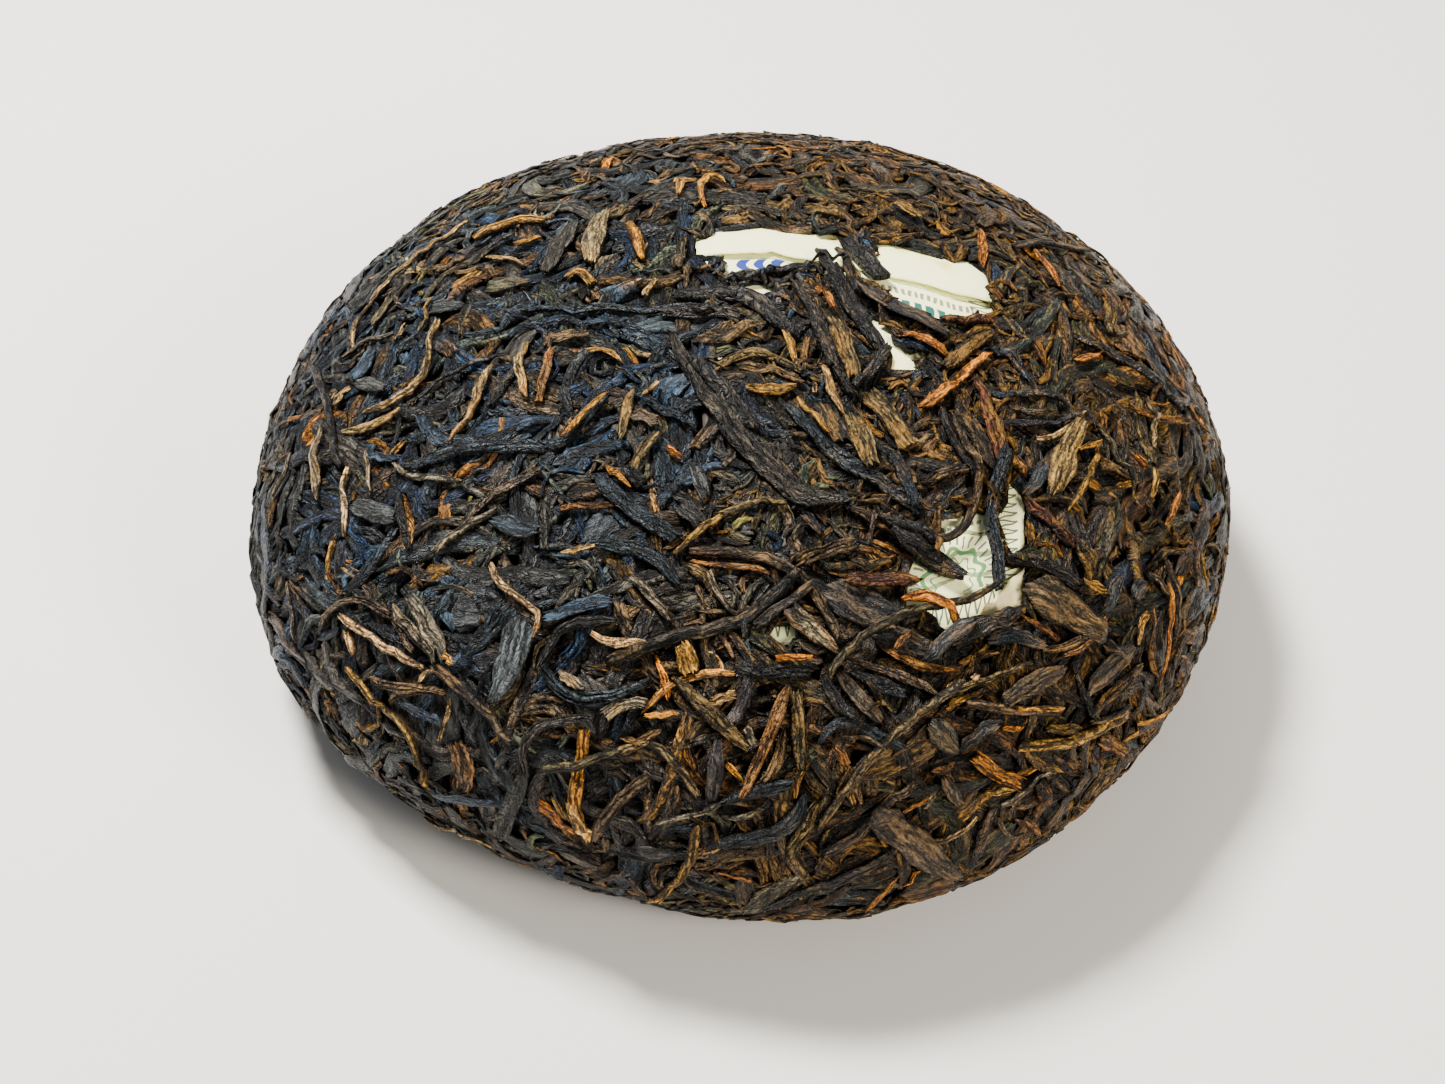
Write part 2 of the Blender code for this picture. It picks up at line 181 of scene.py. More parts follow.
@dataclass
class CakeShape:
    """Outline of the cake out to the tops of its leaves, and the way from a place on it to another."""

    radius: float = 0.0525
    widest_z: float = 0.014
    dome_height: float = 0.029
    dome_power: float = 2.2
    base_radius: float = 0.039
    lower_power: float = 2.2
    mouth_radius: float = 0.0249
    mouth_lip: float = 0.003
    hollow_depth: float = 0.0243
    hollow_power: float = 2.2
    lobes: tuple[tuple[int, float, float], ...] = (
        (2, 0.0037, -0.0011),
        (3, -0.0091, 0.0043),
        (4, -0.0009, 0.0061),
        (5, 0.0090, -0.0053),
    )
    lobe_fade: float = 1.5
    plan_shift: Pair = (0.000105, -0.000458)
    fine_step: float = 0.00025

    def __post_init__(self) -> None:
        """Divide the outline finely and keep its places, outward directions and travel."""
        turn = np.linspace(0, 0.5 * math.pi, 400)
        dome_r = self.radius * np.sin(turn) ** (2 / self.dome_power)
        dome_z = self.widest_z + self.dome_height * np.cos(turn) ** (2 / self.dome_power)
        low_r = self.base_radius + (self.radius - self.base_radius) * np.cos(turn) ** (2 / self.lower_power)
        low_z = self.widest_z * (1 - np.sin(turn) ** (2 / self.lower_power))
        lip_r = self.mouth_radius + self.mouth_lip * (1 - np.sin(turn))
        lip_z = self.mouth_lip * (1 - np.cos(turn))
        top_z = self.hollow_depth - self.mouth_lip
        hollow_r = self.mouth_radius * np.cos(turn) ** (2 / self.hollow_power)
        hollow_z = self.mouth_lip + top_z * np.sin(turn) ** (2 / self.hollow_power)
        across = np.concatenate([dome_r, low_r[1:], lip_r, hollow_r[1:]])
        height = np.concatenate([dome_z, low_z[1:], lip_z, hollow_z[1:]])
        travel = np.concatenate([[0.0], np.cumsum(np.hypot(np.diff(across), np.diff(height)))])
        fine = np.arange(0.0, travel[-1], self.fine_step)
        self.across = np.interp(fine, travel, across)
        self.height = np.interp(fine, travel, height)
        run_r = np.gradient(np.convolve(np.pad(self.across, 3, "edge"), np.ones(7) / 7, "valid"))
        run_z = np.gradient(np.convolve(np.pad(self.height, 3, "edge"), np.ones(7) / 7, "valid"))
        long = np.maximum(np.hypot(run_r, run_z), 1e-12)
        self.out_r = -run_z / long
        self.out_z = run_r / long
        self.travel = fine
        self.outer_end = int(np.searchsorted(fine, travel[len(dome_r) + len(low_r) - 2]))

    def lobe_share(self, angle: Array) -> Array:
        """Share by which the rim stands out at these angles."""
        return sum(c * np.cos(k * angle) + s * np.sin(k * angle) for k, c, s in self.lobes)

    def place(self, index: Array, angle: Array) -> tuple[Array, Array]:
        """Find points on the outline.

        Args:
            index: Places along the fine outline.
            angle: Angles round the axis.

        Returns:
            The points and the outward directions there.
        """
        even = self.across[index]
        wide = even * (1 + self.lobe_share(angle) * (even / self.radius) ** self.lobe_fade)
        cos, sin = np.cos(angle), np.sin(angle)
        spots = np.stack(
            [wide * cos - self.plan_shift[0], wide * sin - self.plan_shift[1], self.height[index]], axis=-1
        )
        out = np.stack([self.out_r[index] * cos, self.out_r[index] * sin, self.out_z[index]], axis=-1)
        return spots, out

    def even_place(self, spots: Array) -> tuple[Array, Array]:
        """Take the lobes out of points' distance from the axis.

        Args:
            spots: The points.

        Returns:
            Their radius on the even outline, and their angle.
        """
        x = spots[..., 0] + self.plan_shift[0]
        y = spots[..., 1] + self.plan_shift[1]
        across = np.hypot(x, y)
        angle = np.arctan2(y, x)
        share = self.lobe_share(angle)
        even = across
        for _ in range(5):
            even = across / (1 + share * (even / self.radius) ** self.lobe_fade)
        return even, angle

    def nearest(self, spots: Array) -> tuple[Array, Array]:
        """Nearest places of the fine outline, and angles, for these points."""
        even, angle = self.even_place(spots)
        away = (self.across - even[..., None]) ** 2 + (self.height - spots[..., 2][..., None]) ** 2
        return np.argmin(away, axis=-1), angle

    def onto(self, spots: Array) -> tuple[Array, Array]:
        """Points of the outline nearest to these points, and the outward directions there."""
        return self.place(*self.nearest(spots))


@dataclass
class PhotoCamera:
    """The camera that the picture was taken from, and the way from a pixel to the cake."""

    image: tuple[int, int] = (1445, 1084)
    focal_pixels: float = 2437.5
    elevation: float = 44.83
    roll: float = 0.58
    distance: float = 0.260
    aim: tuple[float, float, float] = (-0.002225, -0.007452, 0.015)
    sensor_mm: float = 36.0
    ray_step: float = 0.00008

    def __post_init__(self) -> None:
        """Work out the camera's place and directions."""
        lift = math.radians(self.elevation)
        turn = math.radians(self.roll)
        self.forward = np.array([0.0, math.cos(lift), -math.sin(lift)])
        level = np.array([1.0, 0.0, 0.0])
        over = np.cross(level, self.forward)
        self.right = math.cos(turn) * level + math.sin(turn) * over
        self.up = -math.sin(turn) * level + math.cos(turn) * over
        self.eye = np.array(self.aim) - self.forward * self.distance

    def pixel_of(self, spots: Array) -> Array:
        """Find where points fall in the picture.

        Args:
            spots: The points.

        Returns:
            Places across and down the picture.
        """
        away = spots - self.eye
        deep = away @ self.forward
        u = 0.5 * self.image[0] + self.focal_pixels * (away @ self.right) / deep
        v = 0.5 * self.image[1] - self.focal_pixels * (away @ self.up) / deep
        return np.stack([u, v], axis=-1)

    def metres_per_pixel(self, spot: Array) -> float:
        """Width of one pixel at a point."""
        return float((spot - self.eye) @ self.forward) / self.focal_pixels

    def hit(self, pixel: Pair, shape: CakeShape, depth: float = 0.0) -> Array | None:
        """Follow a pixel's ray to the outside of the cake.

        Args:
            pixel: Place in the picture.
            shape: The cake's outline.
            depth: How far below the outline to stop.

        Returns:
            The point, or None where the ray passes the cake.
        """
        right = (pixel[0] - 0.5 * self.image[0]) / self.focal_pixels
        up = (0.5 * self.image[1] - pixel[1]) / self.focal_pixels
        ray = self.forward + self.right * right + self.up * up
        ray /= np.linalg.norm(ray)
        reach = np.arange(self.distance - 0.07, self.distance + 0.08, self.ray_step)
        spots = self.eye + ray * reach[:, None]
        spots = spots[(spots[:, 2] > 0.0005) & (spots[:, 2] < shape.widest_z + shape.dome_height)]
        if not len(spots):
            return None
        even, _ = shape.even_place(spots)
        outer_r = shape.across[: shape.outer_end][::-1]
        outer_z = shape.height[: shape.outer_end][::-1]
        limit = np.interp(spots[:, 2] + depth, outer_z, outer_r, right=0.0) - 0.3 * depth
        inside = np.flatnonzero(even < limit)
        return spots[inside[0]] if len(inside) else None

    def make(self) -> bpy.types.Object:
        """Make the scene's camera.

        Returns:
            The camera.
        """
        data = bpy.data.cameras.new("photo_camera")
        data.sensor_fit = "HORIZONTAL"
        data.sensor_width = self.sensor_mm
        data.lens = self.focal_pixels * self.sensor_mm / self.image[0]
        data.clip_start = 0.01
        camera = new_object("photo_camera", data)
        turn = Matrix((self.right, self.up, -self.forward)).transposed().to_4x4()
        camera.matrix_world = Matrix.Translation(self.eye) @ turn
        bpy.context.scene.camera = camera
        return camera


Palette = tuple[tuple[float, LeafColour], ...]


def palette(**shares: float) -> Palette:
    """Pair leaf colours, by name, with how often each is drawn."""
    return tuple((share, LeafColour[name.upper()]) for name, share in shares.items())


@dataclass(frozen=True)
class LeafSort:
    """One sort of leaf piece: its number, sizes and colours."""

    name: str
    form: Form
    count: int
    length: Pair
    width: Pair
    flatness: Pair
    bend: float
    palette: Palette
    finish: LeafFinish
    rings: int = 9
    section: int = 12


@dataclass
class Leaf:
    """One leaf piece, ring by ring from one end to the other."""

    spots: Array
    out: Array
    half_width: Array
    half_thick: Array
    tint: Array
    fold: float
    roll: float
    number: float
    twist: float = 0.0
    lift: float = 0.0
    headroom: Array = field(default_factory=lambda: np.zeros(0))
    centre: Array = field(default_factory=lambda: np.zeros((0, 3)))
    side: Array = field(default_factory=lambda: np.zeros((0, 3)))
    upright: Array = field(default_factory=lambda: np.zeros((0, 3)))


def unit(rows: Array) -> Array:
    """Scale vectors to a length of one."""
    return rows / np.maximum(np.linalg.norm(rows, axis=-1, keepdims=True), 1e-12)


def run_along(path: Array) -> Array:
    """Distance from a path's start at each of its points."""
    return np.concatenate([[0], np.cumsum(np.linalg.norm(np.diff(path, axis=0), axis=1))])


def points_at(places: Array, travel: Array, path: Array) -> Array:
    """Points of a path at these distances along it."""
    return np.stack([np.interp(places, travel, path[:, axis]) for axis in range(3)], axis=-1)


def smooth_step(low: float, high: float, value: Array) -> Array:
    """Rise smoothly from zero at low to one at high."""
    share = np.clip((value - low) / (high - low), 0.0, 1.0)
    return share * share * (3 - 2 * share)


def inside_polygon(points: Array, corners: Sequence[Pair]) -> Array:
    """Find which points lie inside a polygon.

    Args:
        points: The points.
        corners: The polygon's corners in order.

    Returns:
        True for each point inside.
    """
    found = np.zeros(len(points), bool)
    x, y = points[:, 0], points[:, 1]
    for (x0, y0), (x1, y1) in zip(corners, list(corners[1:]) + [corners[0]]):
        crosses = (y0 > y) != (y1 > y)
        found ^= crosses & (x < (x1 - x0) * (y - y0) / ((y1 - y0) or 1e-12) + x0)
    return found


def new_object(name: str, data: bpy.types.ID) -> bpy.types.Object:
    """Put a mesh, light or camera into the scene as an object."""
    made = bpy.data.objects.new(name, data)
    bpy.context.scene.collection.objects.link(made)
    return made


class HeightField:
    """Heights of what has been laid so far, above or below the cake's outline."""

    spacing: float = 0.0005

    def __init__(self, shape: CakeShape, start: float) -> None:
        """Spread samples evenly over the outline, all at the starting height.

        Args:
            shape: The cake's outline.
            start: The height of every sample at first.
        """
        spots, out = [], []
        for travel in np.arange(0.5 * self.spacing, shape.travel[-1], self.spacing):
            index = min(int(travel / shape.fine_step), len(shape.across) - 1)
            count = max(3, int(math.tau * shape.across[index] / self.spacing))
            angle = (np.arange(count) + 0.5 * (len(spots) % 2)) * math.tau / count - math.pi
            ring, way = shape.place(np.full(count, index), angle)
            spots.append(ring)
            out.append(way)
        self.spots = np.concatenate(spots)
        self.out = np.concatenate(out)
        self.heights = np.full(len(self.spots), start)
        self.blocked = np.zeros(len(self.spots), bool)
        self.paper = np.zeros(len(self.spots), bool)
        self.tree = KDTree(len(self.spots))
        for index, spot in enumerate(self.spots):
            self.tree.insert(spot, index)
        self.tree.balance()

    def near(self, spot: Array, reach: float) -> tuple[Array, Array]:
        """Find the samples within reach of a spot.

        Args:
            spot: The spot.
            reach: The distance.

        Returns:
            Their indices and distances, or those of the nearest one.
        """
        found = self.tree.find_range(spot, reach)
        if not found:
            _, index, away = self.tree.find(spot)
            return np.array([index]), np.array([away])
        return np.array([item[1] for item in found]), np.array([item[2] for item in found])


class LeafShaper:
    """Gives each leaf its path over the outline and its sizes from end to end."""

    drift: PaintedLightTint = PaintedLightTint()
    loose_centre: Pair = (-0.001, -0.019)
    loose_reach: Pair = (0.048, 0.037)

    def __init__(self, shape: CakeShape, seed: int) -> None:
        """Keep the outline and start the fixed series of random numbers."""
        self.shape = shape
        self.chance = np.random.default_rng(seed)

    def zone_looseness(self, spots: Array) -> Array:
        """How loosely the leaves lie, from zero in the tight band round the rim to one on the loose top."""
        (x, y), (wide, deep) = self.loose_centre, self.loose_reach
        reach = np.hypot((spots[..., 0] - x) / wide, (spots[..., 1] - y) / deep)
        return (1 - smooth_step(0.80, 1.16, reach)) * smooth_step(0.008, 0.020, spots[..., 2])

    def paths(self, sort: LeafSort, middle: Array, out: Array) -> tuple[Array, Array]:
        """Lay one path over the outline through each of many places.

        Args:
            sort: The sort of leaf.
            middle: The places.
            out: The outward directions there.

        Returns:
            Points and outward directions, ring by ring.
        """
        shape, chance = self.shape, self.chance
        count = len(middle)
        around = unit(np.stack([-middle[:, 1], middle[:, 0], np.full(count, 1e-9)], axis=-1))
        over = np.cross(out, around)
        loose = self.zone_looseness(middle)
        flow = np.array([noise.noise(Vector(spot) * 45.0) for spot in middle]) * 4.5
        spread = 0.42 + 1.15 * np.maximum(loose, smooth_step(0.034, 0.040, middle[:, 2]) * 0.5)
        spread = np.where(middle[:, 2] < 0.0004, 1.4, spread)
        heading = flow * (0.12 + 0.88 * loose) + chance.normal(0, 1, count) * spread
        length = chance.uniform(*sort.length, count) * (0.9 + 0.2 * loose)
        first = unit(around * np.cos(heading)[:, None] + over * np.sin(heading)[:, None])
        bend = np.clip(chance.normal(0, 1, count), -1.7, 1.7) * sort.bend
        sway = np.clip(chance.normal(0, 1, count), -1.5, 1.5) * sort.bend
        half = sort.rings // 2
        kinks = chance.normal(0, 0.9 / sort.rings, (count, sort.rings))
        kinks[np.arange(count), chance.integers(1, sort.rings - 1, count)] += np.where(
            chance.random(count) < 0.18, chance.normal(0, 0.8, count), 0.0
        )
        step = (length / (sort.rings - 1))[:, None]
        spots = np.zeros((count, sort.rings, 3))
        ways = np.zeros((count, sort.rings, 3))
        spots[:, half], ways[:, half] = middle, out
        for sign in (1, -1):
            here, along, normal = middle, first * sign, out
            rows = range(half + 1, sort.rings) if sign == 1 else range(half - 1, -1, -1)
            for place in rows:
                away = abs(place - half) / half
                turn = (bend * sign + sway * math.sin(math.pi * away)) * 2.0 / (sort.rings - 1)
                along = unit(along + np.cross(normal, along) * (turn + kinks[:, place])[:, None])
                there, normal = shape.onto(here + along * step)
                along = unit(there - here)
                here = there
                spots[:, place], ways[:, place] = there, normal
        return spots, ways

    def outline(self, form: Form, rings: int) -> tuple[Array, Array]:
        """Shape a leaf of one form from end to end.

        Args:
            form: How the leaf has rolled.
            rings: Number of rings.

        Returns:
            Shares of the width and of the thickness.
        """
        chance = self.chance
        t = np.linspace(0, 1, rings)
        lumps = 1 + 0.17 * np.interp(t, np.linspace(0, 1, 6), chance.normal(0, 1, 6))
        ends = chance.uniform(0.25, 0.8, 2)
        if form is Form.STEM:
            wide = np.interp(t, [0, 0.06, 0.94, 1], [0.72, 1.0, chance.uniform(0.7, 1.0), 0.6])
            return wide * (1 + 0.3 * (lumps - 1)), wide
        if form is Form.BUD:
            wide = np.interp(t, [0, 0.22, 0.6, 0.85, 1], [ends[0], 0.9, 1.0, 0.7, 0.5 * ends[1]])
            return wide * lumps, np.interp(t, [0, 0.2, 0.85, 1], [0.5, 1.0, 0.9, 0.4])
        if form in (Form.BROAD, Form.FLAKE):
            ends = ends if form is Form.BROAD else 0.5 + 0.5 * ends
            wide = np.interp(t, [0, 0.15, 0.45, 0.8, 1], [ends[0], 0.88, 1.0, 0.88, ends[1]])
            return wide * lumps, np.interp(t, [0, 0.15, 0.85, 1], [0.6, 1.0, 1.0, 0.6])
        if form is Form.CRUMB:
            wide = np.interp(t, [0, 0.5, 1], [ends[0], 1.0, ends[1]])
            return wide, wide
        wide = np.interp(t, [0, 0.14, 0.5, 0.86, 1], [ends[0], 0.85, 1.0, 0.85, ends[1]])
        deep = 1 + 0.18 * np.interp(t, np.linspace(0, 1, 6), chance.normal(0, 1, 6))
        return wide * lumps, deep * np.interp(t, [0, 0.12, 0.88, 1], [0.5, 1.0, 1.0, 0.5])

    def tints(self, sort: LeafSort, spot: Array, out: Array, rings: int) -> Array:
        """Colour of a leaf at each ring, with the painted light tint and the painted shade of the far-left
        rim.

        Args:
            sort: The sort of leaf.
            spot: The leaf's middle.
            out: The outward direction there.
            rings: Number of rings.

        Returns:
            One colour for each ring.
        """
        chance, drift = self.chance, self.drift
        # How far the leaf faces the view; leaves turned away get less of the painted cool tint
        open_top = float(smooth_step(*drift.view_span, drift.view[1] * out[2] + drift.view[0] * out[1]))
        weights = np.array([share for share, _ in sort.palette])
        base = np.array(sort.palette[chance.choice(len(weights), p=weights / weights.sum())][1].value)
        base = base * math.exp(chance.normal(0, drift.spread))
        if base[2] > base[0]:
            base = base + (base.mean() * np.array(drift.plain) - base) * drift.plain_share * (1 - open_top)
        # painted shade: leaves on the far-left rim are darkened
        base = base * (1 - drift.rim_painted_shade * float(smooth_step(*drift.rim_span, spot[0])))
        # Painted light: cool tint on the left, warm reflected-light tint to the right, at the front and
        # behind
        left = float(smooth_step(*drift.left_span, spot[0]))
        side = max(drift.rise[0] * spot[0] / drift.rise[1] - drift.start, drift.least)
        for span, warmth in ((drift.near_span, drift.near_warmth), (drift.far_span, drift.far_warmth)):
            side += (warmth[0] + warmth[1] * left) * float(smooth_step(*span, spot[1]))
        cool, warm = np.array(drift.cool), np.array(drift.warm)
        stray = chance.normal(0, drift.stray)
        bluest = drift.hidden_blue + (1 - drift.hidden_blue) * open_top
        coolest = drift.brown_leaf_blue if base[0] > 1.3 * base[2] else drift.before[0]
        odd, more = drift.odd_stray
        side = np.clip(side, coolest * bluest, drift.before[1]) + stray * (more if abs(stray) > odd else 1.0)
        share = 0.5 + 0.5 * np.clip(side, drift.after[0] * bluest, drift.after[1])
        base = base * (cool + (warm - cool) * share)
        t = np.linspace(0, 1, rings)
        rows = np.repeat(base[None], rings, axis=0)
        tone = np.interp(t, np.linspace(0, 1, 4), np.exp(chance.normal(0, 0.16, 4)))
        rows = rows * tone[:, None]
        if sort.form in (Form.BUD, Form.STEM) or chance.random() < 0.12:
            tip = np.array(drift.tip) * math.exp(chance.normal(0, 0.3))
            share = smooth_step(0.72, 1.0, t if chance.random() < 0.5 else 1 - t)
            rows = rows + (tip - rows) * (share * chance.uniform(0.2, 0.8))[:, None]
        return np.clip(rows, 0.004, 0.8)

    def dress(self, sort: LeafSort, spots: Array, out: Array, width: float) -> Leaf:
        """Give a path its sizes and colours.

        Args:
            sort: The sort of leaf.
            spots: Points of the path.
            out: Outward directions there.
            width: The leaf's full width.

        Returns:
            The leaf, not pressed yet.
        """
        chance = self.chance
        rings = len(spots)
        wide, thick = self.outline(sort.form, rings)
        loose = float(self.zone_looseness(spots[rings // 2]))
        flat = chance.uniform(*sort.flatness) * (0.62 + 0.38 * loose)
        broaden = 1.18 - 0.18 * loose
        turn = 0.16 if sort.form in (Form.BROAD, Form.FLAKE) else 0.34
        return Leaf(
            spots=spots,
            out=out,
            half_width=0.5 * width * wide * broaden,
            half_thick=0.5 * width * flat * thick,
            tint=self.tints(sort, spots[rings // 2], out[rings // 2], rings),
            fold=chance.normal(0, 0.28) if sort.form is not Form.STEM else 0.0,
            roll=chance.normal(0, turn) * (0.35 + 0.65 * loose),
            number=float(chance.uniform(0, 900)),
            twist=float(chance.normal(0, 130.0)),
        )


class LeafPress:
    """Lays leaves one on another and presses them to the cake's outline."""

    most_barred: float = 0.12
    bare_paper: float = -0.00055
    # painted shade on leaves that lie deep between later ones: its strength, reach and depth
    painted_shade: float = 0.88
    shade_reach: float = 0.0016
    shade_depth: float = 0.0010
    least_seen: float = 0.16

    def __init__(self, shape: CakeShape, field_: HeightField, shaper: LeafShaper) -> None:
        """Set how high leaves may reach over the cake.

        Args:
            shape: The cake's outline.
            field_: The heights laid so far.
            shaper: What shapes each leaf.
        """
        self.shape = shape
        self.field = field_
        self.shaper = shaper
        loose = shaper.zone_looseness(field_.spots)
        rough = np.array([noise.fractal(Vector(spot) * 160.0, 0.9, 2.0, 3) for spot in field_.spots])
        self.loose = loose
        self.cap = -0.00018 + rough * (0.00018 + 0.00080 * loose)
        self.cap = np.where(field_.spots[:, 2] < 0.0006, -0.00008, self.cap)

    def press(self, leaf: Leaf, patient: bool = False) -> bool:
        """Press one leaf onto what lies below it.

        Args:
            leaf: The leaf, which gets its final place.
            patient: Whether it may cross the uncovered parts of the ticket.

        Returns:
            Whether there was room for it.
        """
        field_ = self.field
        along = unit(np.gradient(leaf.spots, axis=0))
        side = unit(np.cross(along, leaf.out))
        support, slope, caps = [], [], []
        for spot, across, half in zip(leaf.spots, side, leaf.half_width):
            near, _ = field_.near(spot, max(0.85 * half, field_.spacing))
            if not patient and field_.blocked[near].mean() > self.most_barred:
                return False
            heights = field_.heights[near]
            reach = (field_.spots[near] - spot) @ across
            spread = float(reach @ reach)
            slope.append(float(reach @ (heights - heights.mean())) / spread if spread > 1e-9 else 0.0)
            support.append(float(np.sort(heights)[len(heights) // 2 :].mean()))
            caps.append(float(self.cap[near].mean()))
        held = np.array(support)
        thick = leaf.half_thick
        rest = held + 0.82 * thick
        eased = rest.copy()
        for _ in range(3):
            padded = np.pad(eased, 1, "edge")
            eased = np.maximum(0.25 * padded[:-2] + 0.5 * eased + 0.25 * padded[2:], rest - 0.35 * thick)
        loose = self.shaper.zone_looseness(leaf.spots)
        share = 0.55 + 0.35 * loose
        top = np.maximum(np.array(caps), held + 0.00016 + 0.00010 * loose)
        centre = np.minimum(eased, top - share * thick) + leaf.lift
        leaf.headroom = top + leaf.lift - centre + 0.00004 + 0.0030 * loose**2
        centre[[0, -1]] -= 0.25 * thick[[0, -1]]
        lean = np.arctan(np.convolve(np.pad(slope, 1, "edge"), [0.25, 0.5, 0.25], "valid")) * 0.75
        turn = (np.clip(lean + leaf.roll, -0.65, 0.65) * (0.35 + 0.65 * loose))[:, None]
        leaf.side = side * np.cos(turn) + leaf.out * np.sin(turn)
        leaf.upright = leaf.out * np.cos(turn) - side * np.sin(turn)
        leaf.centre = leaf.spots + leaf.out * centre[:, None]
        self.mark(leaf, centre)
        return True

    def mark(self, leaf: Leaf, centre: Array) -> None:
        """Raise the heights under a leaf to its top.

        Args:
            leaf: The leaf.
            centre: Height of its middle line at each ring.
        """
        field_ = self.field
        rings = len(centre)
        travel = run_along(leaf.spots)
        count = max(rings, int(travel[-1] / field_.spacing))
        dense = np.linspace(0, travel[-1], count)
        spots = points_at(dense, travel, leaf.spots)
        half = np.interp(dense, travel, leaf.half_width)
        thick = np.interp(dense, travel, leaf.half_thick)
        middle = np.interp(dense, travel, centre)
        spare = np.interp(dense, travel, leaf.headroom)
        for spot, reach, deep, level, room in zip(spots, half, thick, middle, spare):
            near, away = field_.near(spot, reach)
            top = level + np.minimum(deep * np.sqrt(np.clip(1 - (away / reach) ** 2, 0.0, 1.0)), room)
            field_.heights[near] = np.maximum(field_.heights[near], top)

    def fill(self, sort: LeafSort, count: int, choices: int, tight: bool = False) -> list[Leaf]:
        """Lay leaves of one sort where the cake is lowest.

        Args:
            sort: The sort of leaf.
            count: Number of leaves.
            choices: Number of places compared for each.
            tight: Whether only the tightly pressed band and base get them.

        Returns:
            The leaves laid.
        """
        field_, chance = self.field, self.shaper.chance
        barred = field_.blocked | (self.loose > 0.4) if tight else field_.blocked
        laid: list[Leaf] = []
        for _ in range(12):
            want = min(count - len(laid), max(60, count // 5))
            if want <= 0:
                break
            drawn = chance.integers(0, len(field_.spots), (want, choices))
            level = field_.heights[drawn] - self.cap[drawn] + barred[drawn] * 1.0
            seeds = drawn[np.arange(want), np.argmin(level, axis=1)]
            laid += self.lay_at(sort, seeds[~barred[seeds]], 4)
        return laid

    def lay_at(self, sort: LeafSort, seeds: Array, tries: int) -> list[Leaf]:
        """Lay a leaf through each of these samples, the way that it lies lowest.

        Args:
            sort: The sort of leaf.
            seeds: Indices of samples.
            tries: Number of ways compared for each.

        Returns:
            The leaves laid.
        """
        field_ = self.field
        every = np.repeat(seeds, tries)
        spots, out = self.shaper.paths(sort, field_.spots[every], field_.out[every])
        near = np.array([[field_.tree.find(spot)[1] for spot in row] for row in spots])
        widths = self.shaper.chance.uniform(*sort.width, len(seeds))
        laid: list[Leaf] = []
        for row, width in enumerate(widths):
            found = near[row * tries : (row + 1) * tries]
            level = (field_.heights[found] - self.cap[found] + field_.blocked[found] * 1.0).mean(axis=1)
            for pick in np.argsort(level):
                chosen = row * tries + int(pick)
                if field_.blocked[near[chosen]].any():
                    break
                leaf = self.shaper.dress(sort, spots[chosen], out[chosen], float(width))
                if self.press(leaf):
                    laid.append(leaf)
                    break
        return laid

    def mend(self, sort: LeafSort, rounds: int, low: float) -> list[Leaf]:
        """Close deep gaps, and the parts of the ticket that lie under leaves.

        Args:
            sort: The sort of leaf.
            rounds: Number of passes over the cake.
            low: Depth below the outline from which a gap is closed.

        Returns:
            The leaves laid.
        """
        field_, chance = self.field, self.shaper.chance
        laid: list[Leaf] = []
        for _ in range(rounds):
            bare = field_.paper & (field_.heights < self.bare_paper)
            gaps = np.flatnonzero((bare | (field_.heights < self.cap - low)) & ~field_.blocked)
            if not len(gaps):
                break
            picked: list[int] = []
            taken = np.zeros(len(field_.spots), bool)
            for index in chance.permutation(gaps):
                if not taken[index]:
                    picked.append(int(index))
                    taken[field_.near(field_.spots[index], 0.3 * sort.length[1])[0]] = True
            laid += self.lay_at(sort, np.array(picked), 14)
        return laid

    def darken(self, leaf: Leaf) -> None:
        """Darken a leaf where it lies deep between later ones, as painted shade.

        Args:
            leaf: The leaf, whose colours are changed.
        """
        field_ = self.field
        for ring, (spot, centre, thick) in enumerate(zip(leaf.spots, leaf.centre, leaf.half_thick)):
            near, _ = field_.near(spot, self.shade_reach)
            top = float((centre - spot) @ field_.out[near[0]]) + thick
            under = float(np.quantile(field_.heights[near], 0.7)) - top
            # painted shade: the deeper under later leaves, the darker
            leaf.tint[ring] *= 1.0 - self.painted_shade * float(smooth_step(0.0, self.shade_depth, np.array(under)))

    def hidden(self, leaf: Leaf) -> bool:
        """Find whether a leaf lies below later ones.

        Args:
            leaf: The leaf.

        Returns:
            True where too little of it shows.
        """
        field_ = self.field
        seen = 0
        for spot, centre, half, thick in zip(leaf.spots, leaf.centre, leaf.half_width, leaf.half_thick):
            near, _ = field_.near(spot, half + 0.0003)
            top = float((centre - spot) @ field_.out[near[0]]) + thick
            seen += top > float(np.quantile(field_.heights[near], 0.12)) - 0.0003
        return seen < self.least_seen * len(leaf.spots)


Socket = bpy.types.NodeSocket


